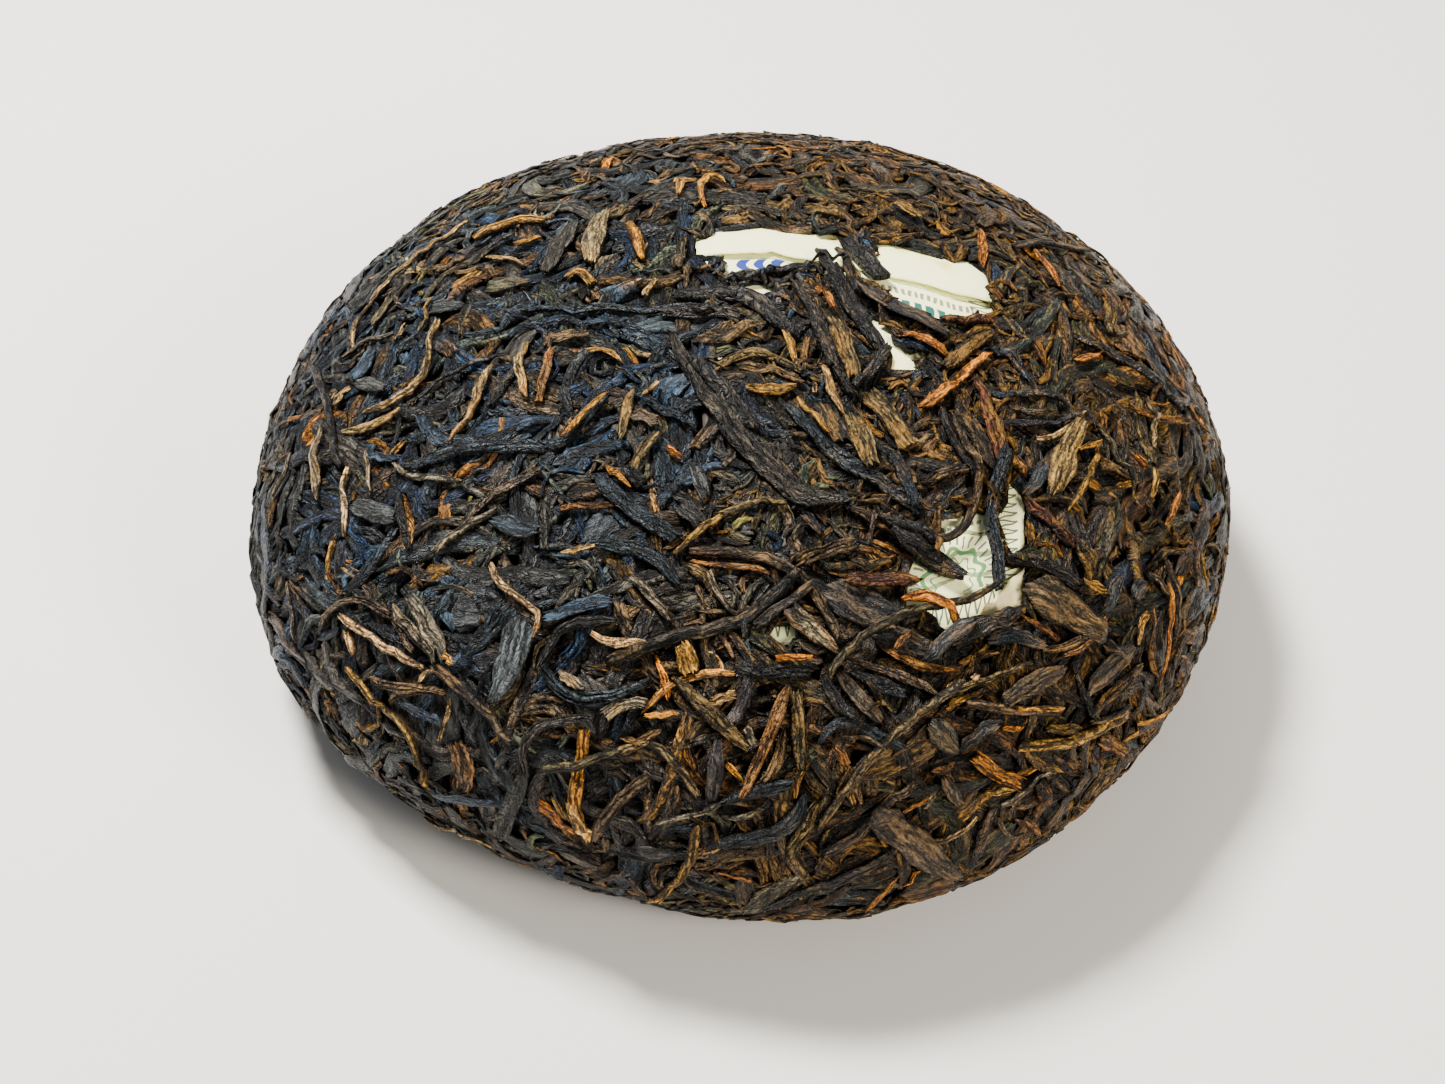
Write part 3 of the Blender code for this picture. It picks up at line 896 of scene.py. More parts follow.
class Tree:
    """Small helper that adds and links the nodes of a tree."""

    def __init__(self, tree: bpy.types.NodeTree) -> None:
        """Keep the tree."""
        self.tree = tree

    def node(self, kind: str, given: dict[str, object] | None = None, **settings: object) -> bpy.types.Node:
        """Add a node.

        Args:
            kind: Its type.
            given: What its inputs are linked or set to, by name.
            settings: Its properties.

        Returns:
            The node.
        """
        made = self.tree.nodes.new(kind)
        for name, value in settings.items():
            setattr(made, name, value)
        for name, value in (given or {}).items():
            self.put(made.inputs[name], value)
        return made

    def put(self, socket: Socket, value: object) -> None:
        """Link a socket to an input, or set the input to a value."""
        if isinstance(value, bpy.types.NodeSocket):
            self.tree.links.new(value, socket)
        elif value is not None:
            socket.default_value = value

    def math(self, operation: str, a: object, b: object = None, c: object = None) -> Socket:
        """Add a Math node."""
        made = self.node("ShaderNodeMath", operation=operation)
        for socket, value in zip(made.inputs, (a, b, c)):
            self.put(socket, value)
        return made.outputs[0]

    def vector(self, operation: str, a: object, b: object = None, scale: object = None) -> Socket:
        """Add a Vector Math node."""
        made = self.node("ShaderNodeVectorMath", operation=operation)
        self.put(made.inputs[0], a)
        if b is not None:
            self.put(made.inputs[1], b)
        if scale is not None:
            self.put(made.inputs["Scale"], scale)
        return made.outputs["Value"] if operation in ("DOT_PRODUCT", "LENGTH") else made.outputs[0]

    def combine(self, x: object, y: object, z: object) -> Socket:
        """Add a Combine XYZ node."""
        made = self.node("ShaderNodeCombineXYZ")
        for socket, value in zip(made.inputs, (x, y, z)):
            self.put(socket, value)
        return made.outputs[0]

    def times(self, a: object, b: object) -> Socket:
        """Multiply two values."""
        return self.math("MULTIPLY", a, b)

    def plus(self, a: object, b: object) -> Socket:
        """Add two values."""
        return self.math("ADD", a, b)

    def minus(self, a: object, b: object) -> Socket:
        """Take the second value from the first."""
        return self.math("SUBTRACT", a, b)

    def clamp(self, value: object) -> Socket:
        """Keep a value between zero and one."""
        return self.math("MINIMUM", self.math("MAXIMUM", value, 0.0), 1.0)

    def between(self, value: object, low: float, high: float) -> Socket:
        """Give one where a value lies between two limits, and zero elsewhere."""
        return self.times(self.math("GREATER_THAN", value, low), self.math("LESS_THAN", value, high))

    def stripes(self, value: object, often: float, share: float, shift: object = None) -> Socket:
        """Give one on even stripes over a value, and zero between them.

        Args:
            value: The value.
            often: Twice the number of stripes for each unit of it.
            share: Share that the stripes take up.
            shift: What is added to the stripes' run, if anything.

        Returns:
            The stripes.
        """
        run = self.times(value, often)
        if shift is not None:
            run = self.plus(run, shift)
        return self.math("LESS_THAN", self.math("PINGPONG", run, 1.0), share)

    def split(self, vector: Socket) -> Sequence[Socket]:
        """Add a Separate XYZ node."""
        return self.node("ShaderNodeSeparateXYZ", {"Vector": vector}).outputs

    def bump(self, shader: bpy.types.Node, height: Socket, distance: float) -> None:
        """Add a Bump node to a shader."""
        made = self.node("ShaderNodeBump", {"Distance": distance, "Height": height})
        self.put(shader.inputs["Normal"], made.outputs[0])

    def noise(
        self, vector: object, scale: object, detail: float = 2.0, rough: float = 0.5, way: int = 0
    ) -> Socket:
        """Add a Noise Texture node.

        Args:
            vector: Where it is read.
            scale: Its scale.
            detail: Its detail.
            rough: Its roughness.
            way: Zero for its value, or one for its three values.

        Returns:
            The value or values, centred on a half.
        """
        given = {"Vector": vector, "Scale": scale, "Detail": detail, "Roughness": rough}
        return self.node("ShaderNodeTexNoise", given).outputs[way]

    def ramp(
        self, value: object, low: float, high: float, to_low: float = 0.0, to_high: float = 1.0
    ) -> Socket:
        """Add a smooth Map Range node.

        Args:
            value: The value that it reads.
            low: Where the ramp starts.
            high: Where it ends.
            to_low: What it gives up to its start.
            to_high: What it gives from its end.

        Returns:
            What it gives.
        """
        given = {"Value": value, "From Min": low, "From Max": high, "To Min": to_low, "To Max": to_high}
        return self.node("ShaderNodeMapRange", given, interpolation_type="SMOOTHSTEP").outputs[0]

    def mix(self, share: object, a: object, b: object, blend: str = "MIX") -> Socket:
        """Add a colour Mix node."""
        made = self.node("ShaderNodeMix", {"Factor": share}, data_type="RGBA", blend_type=blend)
        colours = [socket for socket in made.inputs if socket.type == "RGBA"]
        for socket, value in zip(colours, (a, b)):
            self.put(socket, (*value, 1.0) if isinstance(value, tuple) and len(value) == 3 else value)
        return next(socket for socket in made.outputs if socket.type == "RGBA")


@dataclass(frozen=True)
class LoftSizes:
    """How the section of one form of leaf is shaped."""

    ridges: float = 3.0
    groove: float = 0.75
    roundness: float = 2.4
    ragged: float = 0.5


LOFT_SIZES: dict[Form, LoftSizes] = {
    Form.TWISTED: LoftSizes(),
    Form.STEM: LoftSizes(2.0, 0.16, 2.1, 0.15),
    Form.BROAD: LoftSizes(3.5, 0.6, 3.5, 0.7),
    Form.FLAKE: LoftSizes(3.5, 0.55, 4.0),
    Form.BUD: LoftSizes(2.5, 0.4),
    Form.CRUMB: LoftSizes(1.5, 0.3),
}


class LeafLoft:
    """Geometry Nodes tree that turns leaf paths into closed, ridged leaves."""

    longest_tear: float = 0.0007
    tube_radius: float = 0.0005

    def __init__(self) -> None:
        """Build the tree."""
        self.tree = bpy.data.node_groups.new("leaf_loft", "GeometryNodeTree")
        self.inputs: dict[str, str] = {}
        face = self.tree.interface
        face.new_socket(name="Paths", in_out="INPUT", socket_type="NodeSocketGeometry")
        sizes = (
            ("Section points", "NodeSocketInt", 12),
            ("Ridges", "NodeSocketFloat", 3.0),
            ("Groove depth", "NodeSocketFloat", 0.5),
            ("Roundness", "NodeSocketFloat", 2.4),
            ("Ragged edge", "NodeSocketFloat", 0.5),
            ("Lowest point", "NodeSocketFloat", 0.00002),
            ("Finish", "NodeSocketMaterial", None),
        )
        for name, kind, value in sizes:
            socket = face.new_socket(name=name, in_out="INPUT", socket_type=kind)
            if value is not None:
                socket.default_value = value
            self.inputs[name] = socket.identifier
        face.new_socket(name="Leaves", in_out="OUTPUT", socket_type="NodeSocketGeometry")
        self.build()

    def attribute(self, kit: Tree, name: str, kind: str = "FLOAT") -> Socket:
        """Read one of the paths' attributes."""
        made = kit.node("GeometryNodeInputNamedAttribute", {"Name": name}, data_type=kind)
        return made.outputs["Attribute"]

    def store(self, kit: Tree, geometry: Socket, name: str, value: Socket, kind: str) -> Socket:
        """Keep a value on the geometry under a name."""
        given = {"Geometry": geometry, "Name": name, "Value": value}
        made = kit.node("GeometryNodeStoreNamedAttribute", given, data_type=kind, domain="POINT")
        return made.outputs["Geometry"]

    def build(self) -> None:
        """Add the nodes: a tube along each path, then its section point by point."""
        kit = Tree(self.tree)
        given = kit.node("NodeGroupInput")
        curve = kit.node("GeometryNodeMeshToCurve", {"Mesh": given.outputs["Paths"]})
        sizes = {"Resolution": given.outputs["Section points"], "Radius": self.tube_radius}
        circle = kit.node("GeometryNodeCurvePrimitiveCircle", sizes, mode="RADIUS")
        index = kit.node("GeometryNodeInputIndex").outputs[0]
        share = kit.math("DIVIDE", index, given.outputs["Section points"])
        over = kit.math("MINIMUM", kit.times(share, 1.5), 1.0)
        under = kit.math("MAXIMUM", kit.minus(kit.times(share, 3.0), 2.0), 0.0)
        turn = kit.plus(over, under)
        even = kit.minus(kit.math("ABSOLUTE", kit.minus(turn, 1.0)), 0.5)
        x = kit.plus(even, kit.times(kit.math("COSINE", kit.times(turn, math.pi)), 0.5))
        above = kit.math("SIGN", kit.minus(1.0, turn))
        round_ = given.outputs["Roundness"]
        away = kit.math("MINIMUM", kit.math("ABSOLUTE", x), 1.0)
        y = kit.minus(1.0, kit.math("POWER", away, round_))
        y = kit.times(kit.math("POWER", y, kit.math("DIVIDE", 1.0, round_)), above)
        profile = self.store(kit, circle.outputs[0], "section", kit.combine(x, y, 0.0), "FLOAT_VECTOR")
        parts = {"Curve": curve.outputs[0], "Profile Curve": profile, "Fill Caps": True}
        tube = kit.node("GeometryNodeCurveToMesh", parts)

        x, y, _ = kit.split(self.attribute(kit, "section", "FLOAT_VECTOR"))
        number = self.attribute(kit, "number")
        run = self.attribute(kit, "run")
        half_width = self.attribute(kit, "half_width")
        half_thick = self.attribute(kit, "half_thick")
        where = kit.combine(kit.times(run, 230.0), number, kit.times(x, 0.8))
        wander = kit.times(kit.noise(where, 1.0, 1.0), 2.4)
        wander = kit.plus(wander, kit.times(run, self.attribute(kit, "twist")))
        phase = kit.plus(kit.times(x, kit.times(given.outputs["Ridges"], 0.5)), wander)
        crest = kit.math("ABSOLUTE", kit.math("SINE", kit.times(phase, math.pi)))
        groove = kit.math("POWER", kit.minus(1.0, crest), 1.3)
        where = kit.combine(kit.times(x, 1.3), kit.times(run, 300.0), number)
        bulk = kit.noise(where, 1.0, 1.0)
        bow = kit.minus(kit.times(x, x), 0.4)
        bow = kit.times(self.attribute(kit, "fold"), bow)
        y = kit.times(y, kit.plus(kit.times(bulk, 1.1), 0.45))
        raised = kit.times(kit.plus(y, bow), half_thick)
        raised = kit.math("MINIMUM", raised, self.attribute(kit, "headroom"))
        upper = kit.clamp(kit.times(y, 3.0))
        cut = kit.times(kit.times(groove, given.outputs["Groove depth"]), upper)
        raised = kit.minus(raised, kit.times(cut, half_thick))
        edge = kit.noise(kit.combine(kit.times(run, 620.0), number, kit.math("SIGN", x)), 1.0, 2.0)
        edge = kit.times(kit.minus(edge, 0.5), given.outputs["Ragged edge"])
        across = kit.times(kit.times(x, kit.plus(edge, 1.0)), half_width)
        torn = kit.noise(kit.combine(kit.times(x, 3.6), number, run), 1.0, 2.0)
        torn = kit.times(kit.minus(torn, 0.5), 4.0)
        place = self.attribute(kit, "centre", "FLOAT_VECTOR")
        for name, far in (("side", across), ("upright", raised), ("tear", torn)):
            way = self.attribute(kit, name, "FLOAT_VECTOR")
            place = kit.vector("ADD", place, kit.vector("SCALE", way, scale=far))
        place_x, place_y, place_z = kit.split(place)
        place = kit.combine(place_x, place_y, kit.math("MAXIMUM", place_z, given.outputs["Lowest point"]))

        mesh = self.store(kit, tube.outputs[0], "grain", kit.combine(run, across, number), "FLOAT_VECTOR")
        # Mask for painted shade and highlight: one on the crests, low in the grooves and falling to zero on
        # the underside
        flank = kit.clamp(kit.plus(kit.times(y, 1.6), 0.25))
        crown = kit.times(kit.minus(1.0, kit.times(groove, upper)), flank)
        mesh = self.store(kit, mesh, "ridge", crown, "FLOAT")
        mesh = kit.node("GeometryNodeSetPosition", {"Geometry": mesh, "Position": place}).outputs[0]
        mesh = kit.node("GeometryNodeSetShadeSmooth", {"Geometry": mesh}).outputs[0]
        mesh = kit.node("GeometryNodeRealizeInstances", {"Geometry": mesh}).outputs[0]
        coat = {"Geometry": mesh, "Material": given.outputs["Finish"]}
        kit.node("NodeGroupOutput", {"Leaves": kit.node("GeometryNodeSetMaterial", coat).outputs[0]})

    def loft(self, name: str, leaves: Sequence[Leaf], sizes: dict[str, object]) -> bpy.types.Object:
        """Turn leaves into one mesh object.

        Args:
            name: Name of the piece.
            leaves: The pressed leaves.
            sizes: Values of the tree's named inputs.

        Returns:
            The finished object, with no modifier left.
        """
        mesh = bpy.data.meshes.new(name + "_paths")
        centre = np.concatenate([leaf.centre for leaf in leaves])
        edges, start = [], 0
        for leaf in leaves:
            rings = len(leaf.centre)
            edges += [(start + place, start + place + 1) for place in range(rings - 1)]
            start += rings
        mesh.from_pydata(centre.tolist(), edges, [])
        tear = [np.zeros_like(leaf.centre) for leaf in leaves]
        for leaf, ends in zip(leaves, tear):
            ends[0] = unit(leaf.centre[1] - leaf.centre[0]) * min(self.longest_tear, leaf.half_width[1])
            ends[-1] = unit(leaf.centre[-2] - leaf.centre[-1]) * min(self.longest_tear, leaf.half_width[-2])
        rows: dict[str, list[Array]] = {"tear": tear, "run": [run_along(leaf.centre) for leaf in leaves]}
        for label in ("centre", "side", "upright", "half_width", "half_thick", "headroom"):
            rows[label] = [getattr(leaf, label) for leaf in leaves]
        for label in ("twist", "number", "fold"):
            rows[label] = [np.full(len(leaf.centre), getattr(leaf, label)) for leaf in leaves]
        # tint: each leaf's colour, carrying its painted light tint and painted shade
        rows["tint"] = [np.c_[leaf.tint, np.ones(len(leaf.tint))] for leaf in leaves]
        kinds = {1: ("FLOAT", "value"), 3: ("FLOAT_VECTOR", "vector"), 4: ("FLOAT_COLOR", "color")}
        for label, parts in rows.items():
            values = np.concatenate(parts).astype(np.float32)
            kind, slot = kinds[values[0].size]
            mesh.attributes.new(label, kind, "POINT").data.foreach_set(slot, values.ravel())
        source = new_object(name + "_paths", mesh)
        step = source.modifiers.new("loft", "NODES")
        step.node_group = self.tree
        for label, value in sizes.items():
            step[self.inputs[label]] = value
        piece = plain_copy(source, name)
        for label in [*rows, "section"]:
            if label != "tint" and label in piece.data.attributes:
                piece.data.attributes.remove(piece.data.attributes[label])
        face_outward(piece.data)
        return piece


def new_material(name: str) -> tuple[bpy.types.Material, Tree, bpy.types.Node]:
    """Start a material, and give its tree and shader with it."""
    made = bpy.data.materials.new(name)
    made.use_nodes = True
    return made, Tree(made.node_tree), made.node_tree.nodes["Principled BSDF"]


def plain_copy(source: bpy.types.Object, name: str) -> bpy.types.Object:
    """Make a plain mesh object of what an object's modifiers give, and remove the object.

    Args:
        source: The object.
        name: Name of the plain one.

    Returns:
        The plain object.
    """
    graph = bpy.context.evaluated_depsgraph_get()
    mesh = bpy.data.meshes.new_from_object(source.evaluated_get(graph))
    mesh.name = name
    bpy.data.objects.remove(source)
    return new_object(name, mesh)


def face_outward(mesh: bpy.types.Mesh) -> None:
    """Turn every face of closed shells outwards."""
    shape = bmesh.new()
    shape.from_mesh(mesh)
    bmesh.ops.recalc_face_normals(shape, faces=shape.faces[:])
    shape.to_mesh(mesh)
    shape.free()
    mesh.shade_smooth()


def grain_group() -> bpy.types.NodeTree:
    """Build the shader effect that all leaves share: fibres, blotches and specks along the leaf, painted
    shade in its grooves, on its lower flanks and along crease lines, and pale crest marks that are partly
    pale dust and fibre and partly painted highlight.

    Returns:
        The group, from Grain, Ridge and Streak to Shade, Pale and Height.
    """
    tree = bpy.data.node_groups.new("leaf_grain", "ShaderNodeTree")
    face = tree.interface
    face.new_socket(name="Grain", in_out="INPUT", socket_type="NodeSocketVector")
    face.new_socket(name="Ridge", in_out="INPUT", socket_type="NodeSocketFloat")
    for name in ("Streak", "Shade", "Pale", "Height"):
        kind = "INPUT" if name == "Streak" else "OUTPUT"
        face.new_socket(name=name, in_out=kind, socket_type="NodeSocketFloat")
    kit = Tree(tree)
    given = kit.node("NodeGroupInput")
    grain, ridge = given.outputs["Grain"], given.outputs["Ridge"]
    warp = kit.noise(kit.vector("MULTIPLY", grain, (520.0, 900.0, 1.3)), 1.0, 2.0, 0.5, 1)
    warp = kit.vector("MULTIPLY", kit.vector("SUBTRACT", warp, (0.5, 0.5, 0.5)), (0.0012, 0.0009, 0.0))
    bent = kit.vector("ADD", grain, warp)
    fibres = kit.noise(kit.vector("MULTIPLY", bent, (430.0, 3300.0, 1.0)), 1.0, 4.0, 0.66)
    patches = kit.noise(kit.vector("MULTIPLY", bent, (240.0, 620.0, 3.1)), 1.0, 3.0, 0.6)
    specks = kit.noise(kit.vector("MULTIPLY", grain, (2700.0, 4300.0, 2.3)), 1.0, 3.0, 0.7)
    # painted shade along crease lines: each fold mask falls to zero on thin wavy lines, which darken the
    # colour
    folds = []
    for scale, width in (((480.0, 1500.0, 1.7), 0.050), ((1050.0, 2500.0, 2.9), 0.065)):
        wave = kit.noise(kit.vector("MULTIPLY", bent, scale), 1.0, 1.0, 0.5)
        folds.append(kit.ramp(kit.math("ABSOLUTE", kit.minus(wave, 0.5)), 0.0, width))
    creased = kit.times(folds[0], kit.plus(kit.times(folds[1], 0.55), 0.45))
    lines = kit.plus(kit.times(fibres, 0.6), kit.times(specks, 0.4))
    # painted shade: grooves and lower flanks, where the ridge mask is low, are drawn darker; streaky finishes
    # get less
    groove_shade = kit.ramp(ridge, 0.25, 0.95, 0.08, 1.0)
    smooth = kit.times(given.outputs["Streak"], 0.85)
    groove_shade = kit.plus(groove_shade, kit.times(kit.minus(1.0, groove_shade), smooth))
    creased = kit.plus(creased, kit.times(kit.minus(1.0, creased), smooth))
    shade = kit.times(kit.plus(kit.ramp(lines, 0.40, 0.62), 0.16), groove_shade)
    shade = kit.times(shade, kit.plus(kit.times(creased, 0.72), 0.28))
    # Pale crest marks: partly pale dust and fibre, partly painted highlight, kept off the grooves and creases
    pale = kit.plus(kit.times(fibres, 0.26), kit.times(patches, 0.56))
    pale = kit.plus(pale, kit.times(specks, 0.18))
    pale = kit.plus(pale, kit.times(given.outputs["Streak"], 0.14))
    pale = kit.times(kit.ramp(pale, 0.53, 0.63), kit.times(groove_shade, creased))
    height = kit.plus(kit.times(creased, 0.42), kit.times(fibres, 0.6))
    height = kit.plus(height, kit.times(specks, 0.35))
    kit.node("NodeGroupOutput", {"Shade": shade, "Pale": pale, "Height": height})
    return tree


def leaf_material(finish: LeafFinish, group: bpy.types.NodeTree) -> bpy.types.Material:
    """Make the material of one sort of leaf, coloured by each leaf's tint with its painted light and shade,
    with painted shade in its grooves and creases and partly painted highlights on its crests.

    Args:
        finish: Its look.
        group: The effect that all leaves share.

    Returns:
        The material.
    """
    made, kit, shader = new_material(finish.name)
    tint = kit.node("ShaderNodeAttribute", attribute_name="tint").outputs["Color"]
    grain = kit.node("ShaderNodeAttribute", attribute_name="grain").outputs["Vector"]
    ridge = kit.node("ShaderNodeAttribute", attribute_name="ridge").outputs["Fac"]
    given = {"Grain": grain, "Ridge": ridge, "Streak": finish.streak}
    effect = kit.node("ShaderNodeGroup", given, node_tree=group)
    bright = kit.times(kit.math("POWER", effect.outputs["Shade"], 1.8), 3.1)
    bright = kit.plus(bright, 0.02)
    colour = kit.vector("SCALE", tint, scale=bright)
    where_x = kit.split(kit.node("ShaderNodeTexCoord").outputs["Object"])[0]
    mean = kit.vector("DOT_PRODUCT", tint, (0.333, 0.333, 0.333))
    hue = kit.vector("SCALE", tint, scale=kit.math("DIVIDE", 0.55, kit.math("MAXIMUM", mean, 0.001)))
    # Pale crest colour, partly painted highlight, taking the leaf's own hue
    pale = kit.vector("MULTIPLY", kit.vector("ADD", hue, (0.45, 0.45, 0.45)), finish.pale)
    # painted light: the crest colour warms to the right as painted warm reflected light
    pale = kit.mix(kit.ramp(where_x, -0.016, 0.030), pale, finish.pale_warm)
    # painted shade: fewer pale crests on the far-left rim
    rim = kit.ramp(where_x, -0.052, -0.034, 0.45, 1.0)
    share = kit.times(kit.times(effect.outputs["Pale"], rim), finish.pale_share)
    colour = kit.mix(share, colour, pale)
    kit.put(shader.inputs["Base Color"], colour)
    rough = kit.plus(kit.times(effect.outputs["Shade"], -0.12), finish.roughness + 0.06)
    kit.put(shader.inputs["Roughness"], rough)
    shader.inputs["Specular IOR Level"].default_value = finish.gloss
    kit.bump(shader, effect.outputs["Height"], finish.relief)
    return made


@dataclass
class CakeCore:
    """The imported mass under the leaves, seen only in the gaps between them."""

    depth: float = 0.0029
    rough: float = 0.0004
    rows: int = 150
    columns: int = 200

    def build(self, shape: CakeShape) -> bpy.types.Object:
        """Make the core as one closed, uneven shell below the outline.

        Args:
            shape: The cake's outline.

        Returns:
            The core.
        """
        index = np.linspace(0, len(shape.across) - 1, self.rows).astype(int)[1:-1]
        angle = np.arange(self.columns) * math.tau / self.columns - math.pi
        rows, ways = [], []
        for item in index:
            spots, out = shape.place(np.full(self.columns, item), angle)
            rows.append(spots)
            ways.append(out)
        spots, out = np.concatenate(rows), np.concatenate(ways)
        bumps = np.array([noise.fractal(Vector(spot) * 420.0, 0.8, 2.0, 3) for spot in spots])
        spots = spots - out * (self.depth + bumps * self.rough)[:, None]
        spots[:, 2] = np.maximum(spots[:, 2], 0.0008)
        wide = self.columns
        faces = []
        for row in range(len(index) - 1):
            for column in range(wide):
                after = (column + 1) % wide
                a, b = row * wide + column, row * wide + after
                faces.append((a, a + wide, b + wide, b))
        crown = len(spots)
        spots = np.concatenate([spots, [spots[:wide].mean(axis=0), spots[-wide:].mean(axis=0)]])
        last = (len(index) - 1) * wide
        faces += [(crown, column, (column + 1) % wide) for column in range(wide)]
        faces += [(crown + 1, last + (column + 1) % wide, last + column) for column in range(wide)]
        mesh = bpy.data.meshes.new("cake_core")
        mesh.from_pydata(spots.tolist(), [], faces)
        face_outward(mesh)
        made = new_object("cake_core", mesh)
        mesh.materials.append(self.material())
        return made

    def material(self) -> bpy.types.Material:
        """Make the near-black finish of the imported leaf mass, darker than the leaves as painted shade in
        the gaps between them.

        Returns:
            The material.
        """
        made, kit, shader = new_material("leaf_mass_painted_shade")
        where = kit.node("ShaderNodeTexCoord").outputs["Object"]
        patches = kit.noise(where, 520.0, 4.0, 0.6)
        # painted shade: near-black with random patches, so the gaps between leaves look shaded
        colour = kit.mix(kit.ramp(patches, 0.35, 0.7), (0.004, 0.003, 0.003), (0.018, 0.012, 0.008))
        kit.put(shader.inputs["Base Color"], colour)
        shader.inputs["Roughness"].default_value = 0.85
        kit.bump(shader, kit.noise(where, 900.0, 3.0, 0.6), self.rough)
        return made


@dataclass(frozen=True)
class PrintBand:
    """A band of upright marks beside the fold: from where to where, how often, how wide and in which ink."""

    past: Pair
    across: Pair
    often: float
    share: float
    ink: str
    strength: float = 1.0
    sway: float | None = None


@dataclass(frozen=True)
class TicketPrint:
    """The generic print, placed in shares of the ticket's width. Marks repeat so often and are so wide."""

    length: float = 1.42
    border: float = 0.022
    border_slope: float = 14.0
    zigzag: Pair = (66.0, 0.20)
    inner: float = 0.105
    waves_from: float = 0.70
    waves: Pair = (30.0, 0.20)
    wave_sway: Pair = (34.0, 0.012)
    ring_centre: Pair = (0.770, 1.270)
    ring_lobes: Pair = (9.0, 0.009)
    outer_ring: Pair = (0.084, 0.099)
    inner_ring: Pair = (0.060, 0.066)
    rays: Pair = (11.0, 0.30)
    ray_reach: Pair = (0.107, 0.143)
    dash_rows: Pair = (56.0, 0.36)
    dash_columns: Pair = (84.0, 0.62)
    dash_reach: Pair = (0.745, 0.830)
    dash_clear: float = 0.150
    rule: Pair = (0.002, 0.006)
    bands: tuple[PrintBand, ...] = (
        PrintBand((0.006, 0.060), (0.13, 0.36), 34.0, 0.58, "blue_ink", sway=70.0),
        PrintBand((0.022, 0.042), (0.56, 0.94), 96.0, 0.55, "dark_ink", 0.8),
        PrintBand((0.060, 0.100), (0.66, 0.97), 52.0, 0.66, "teal_ink"),
    )


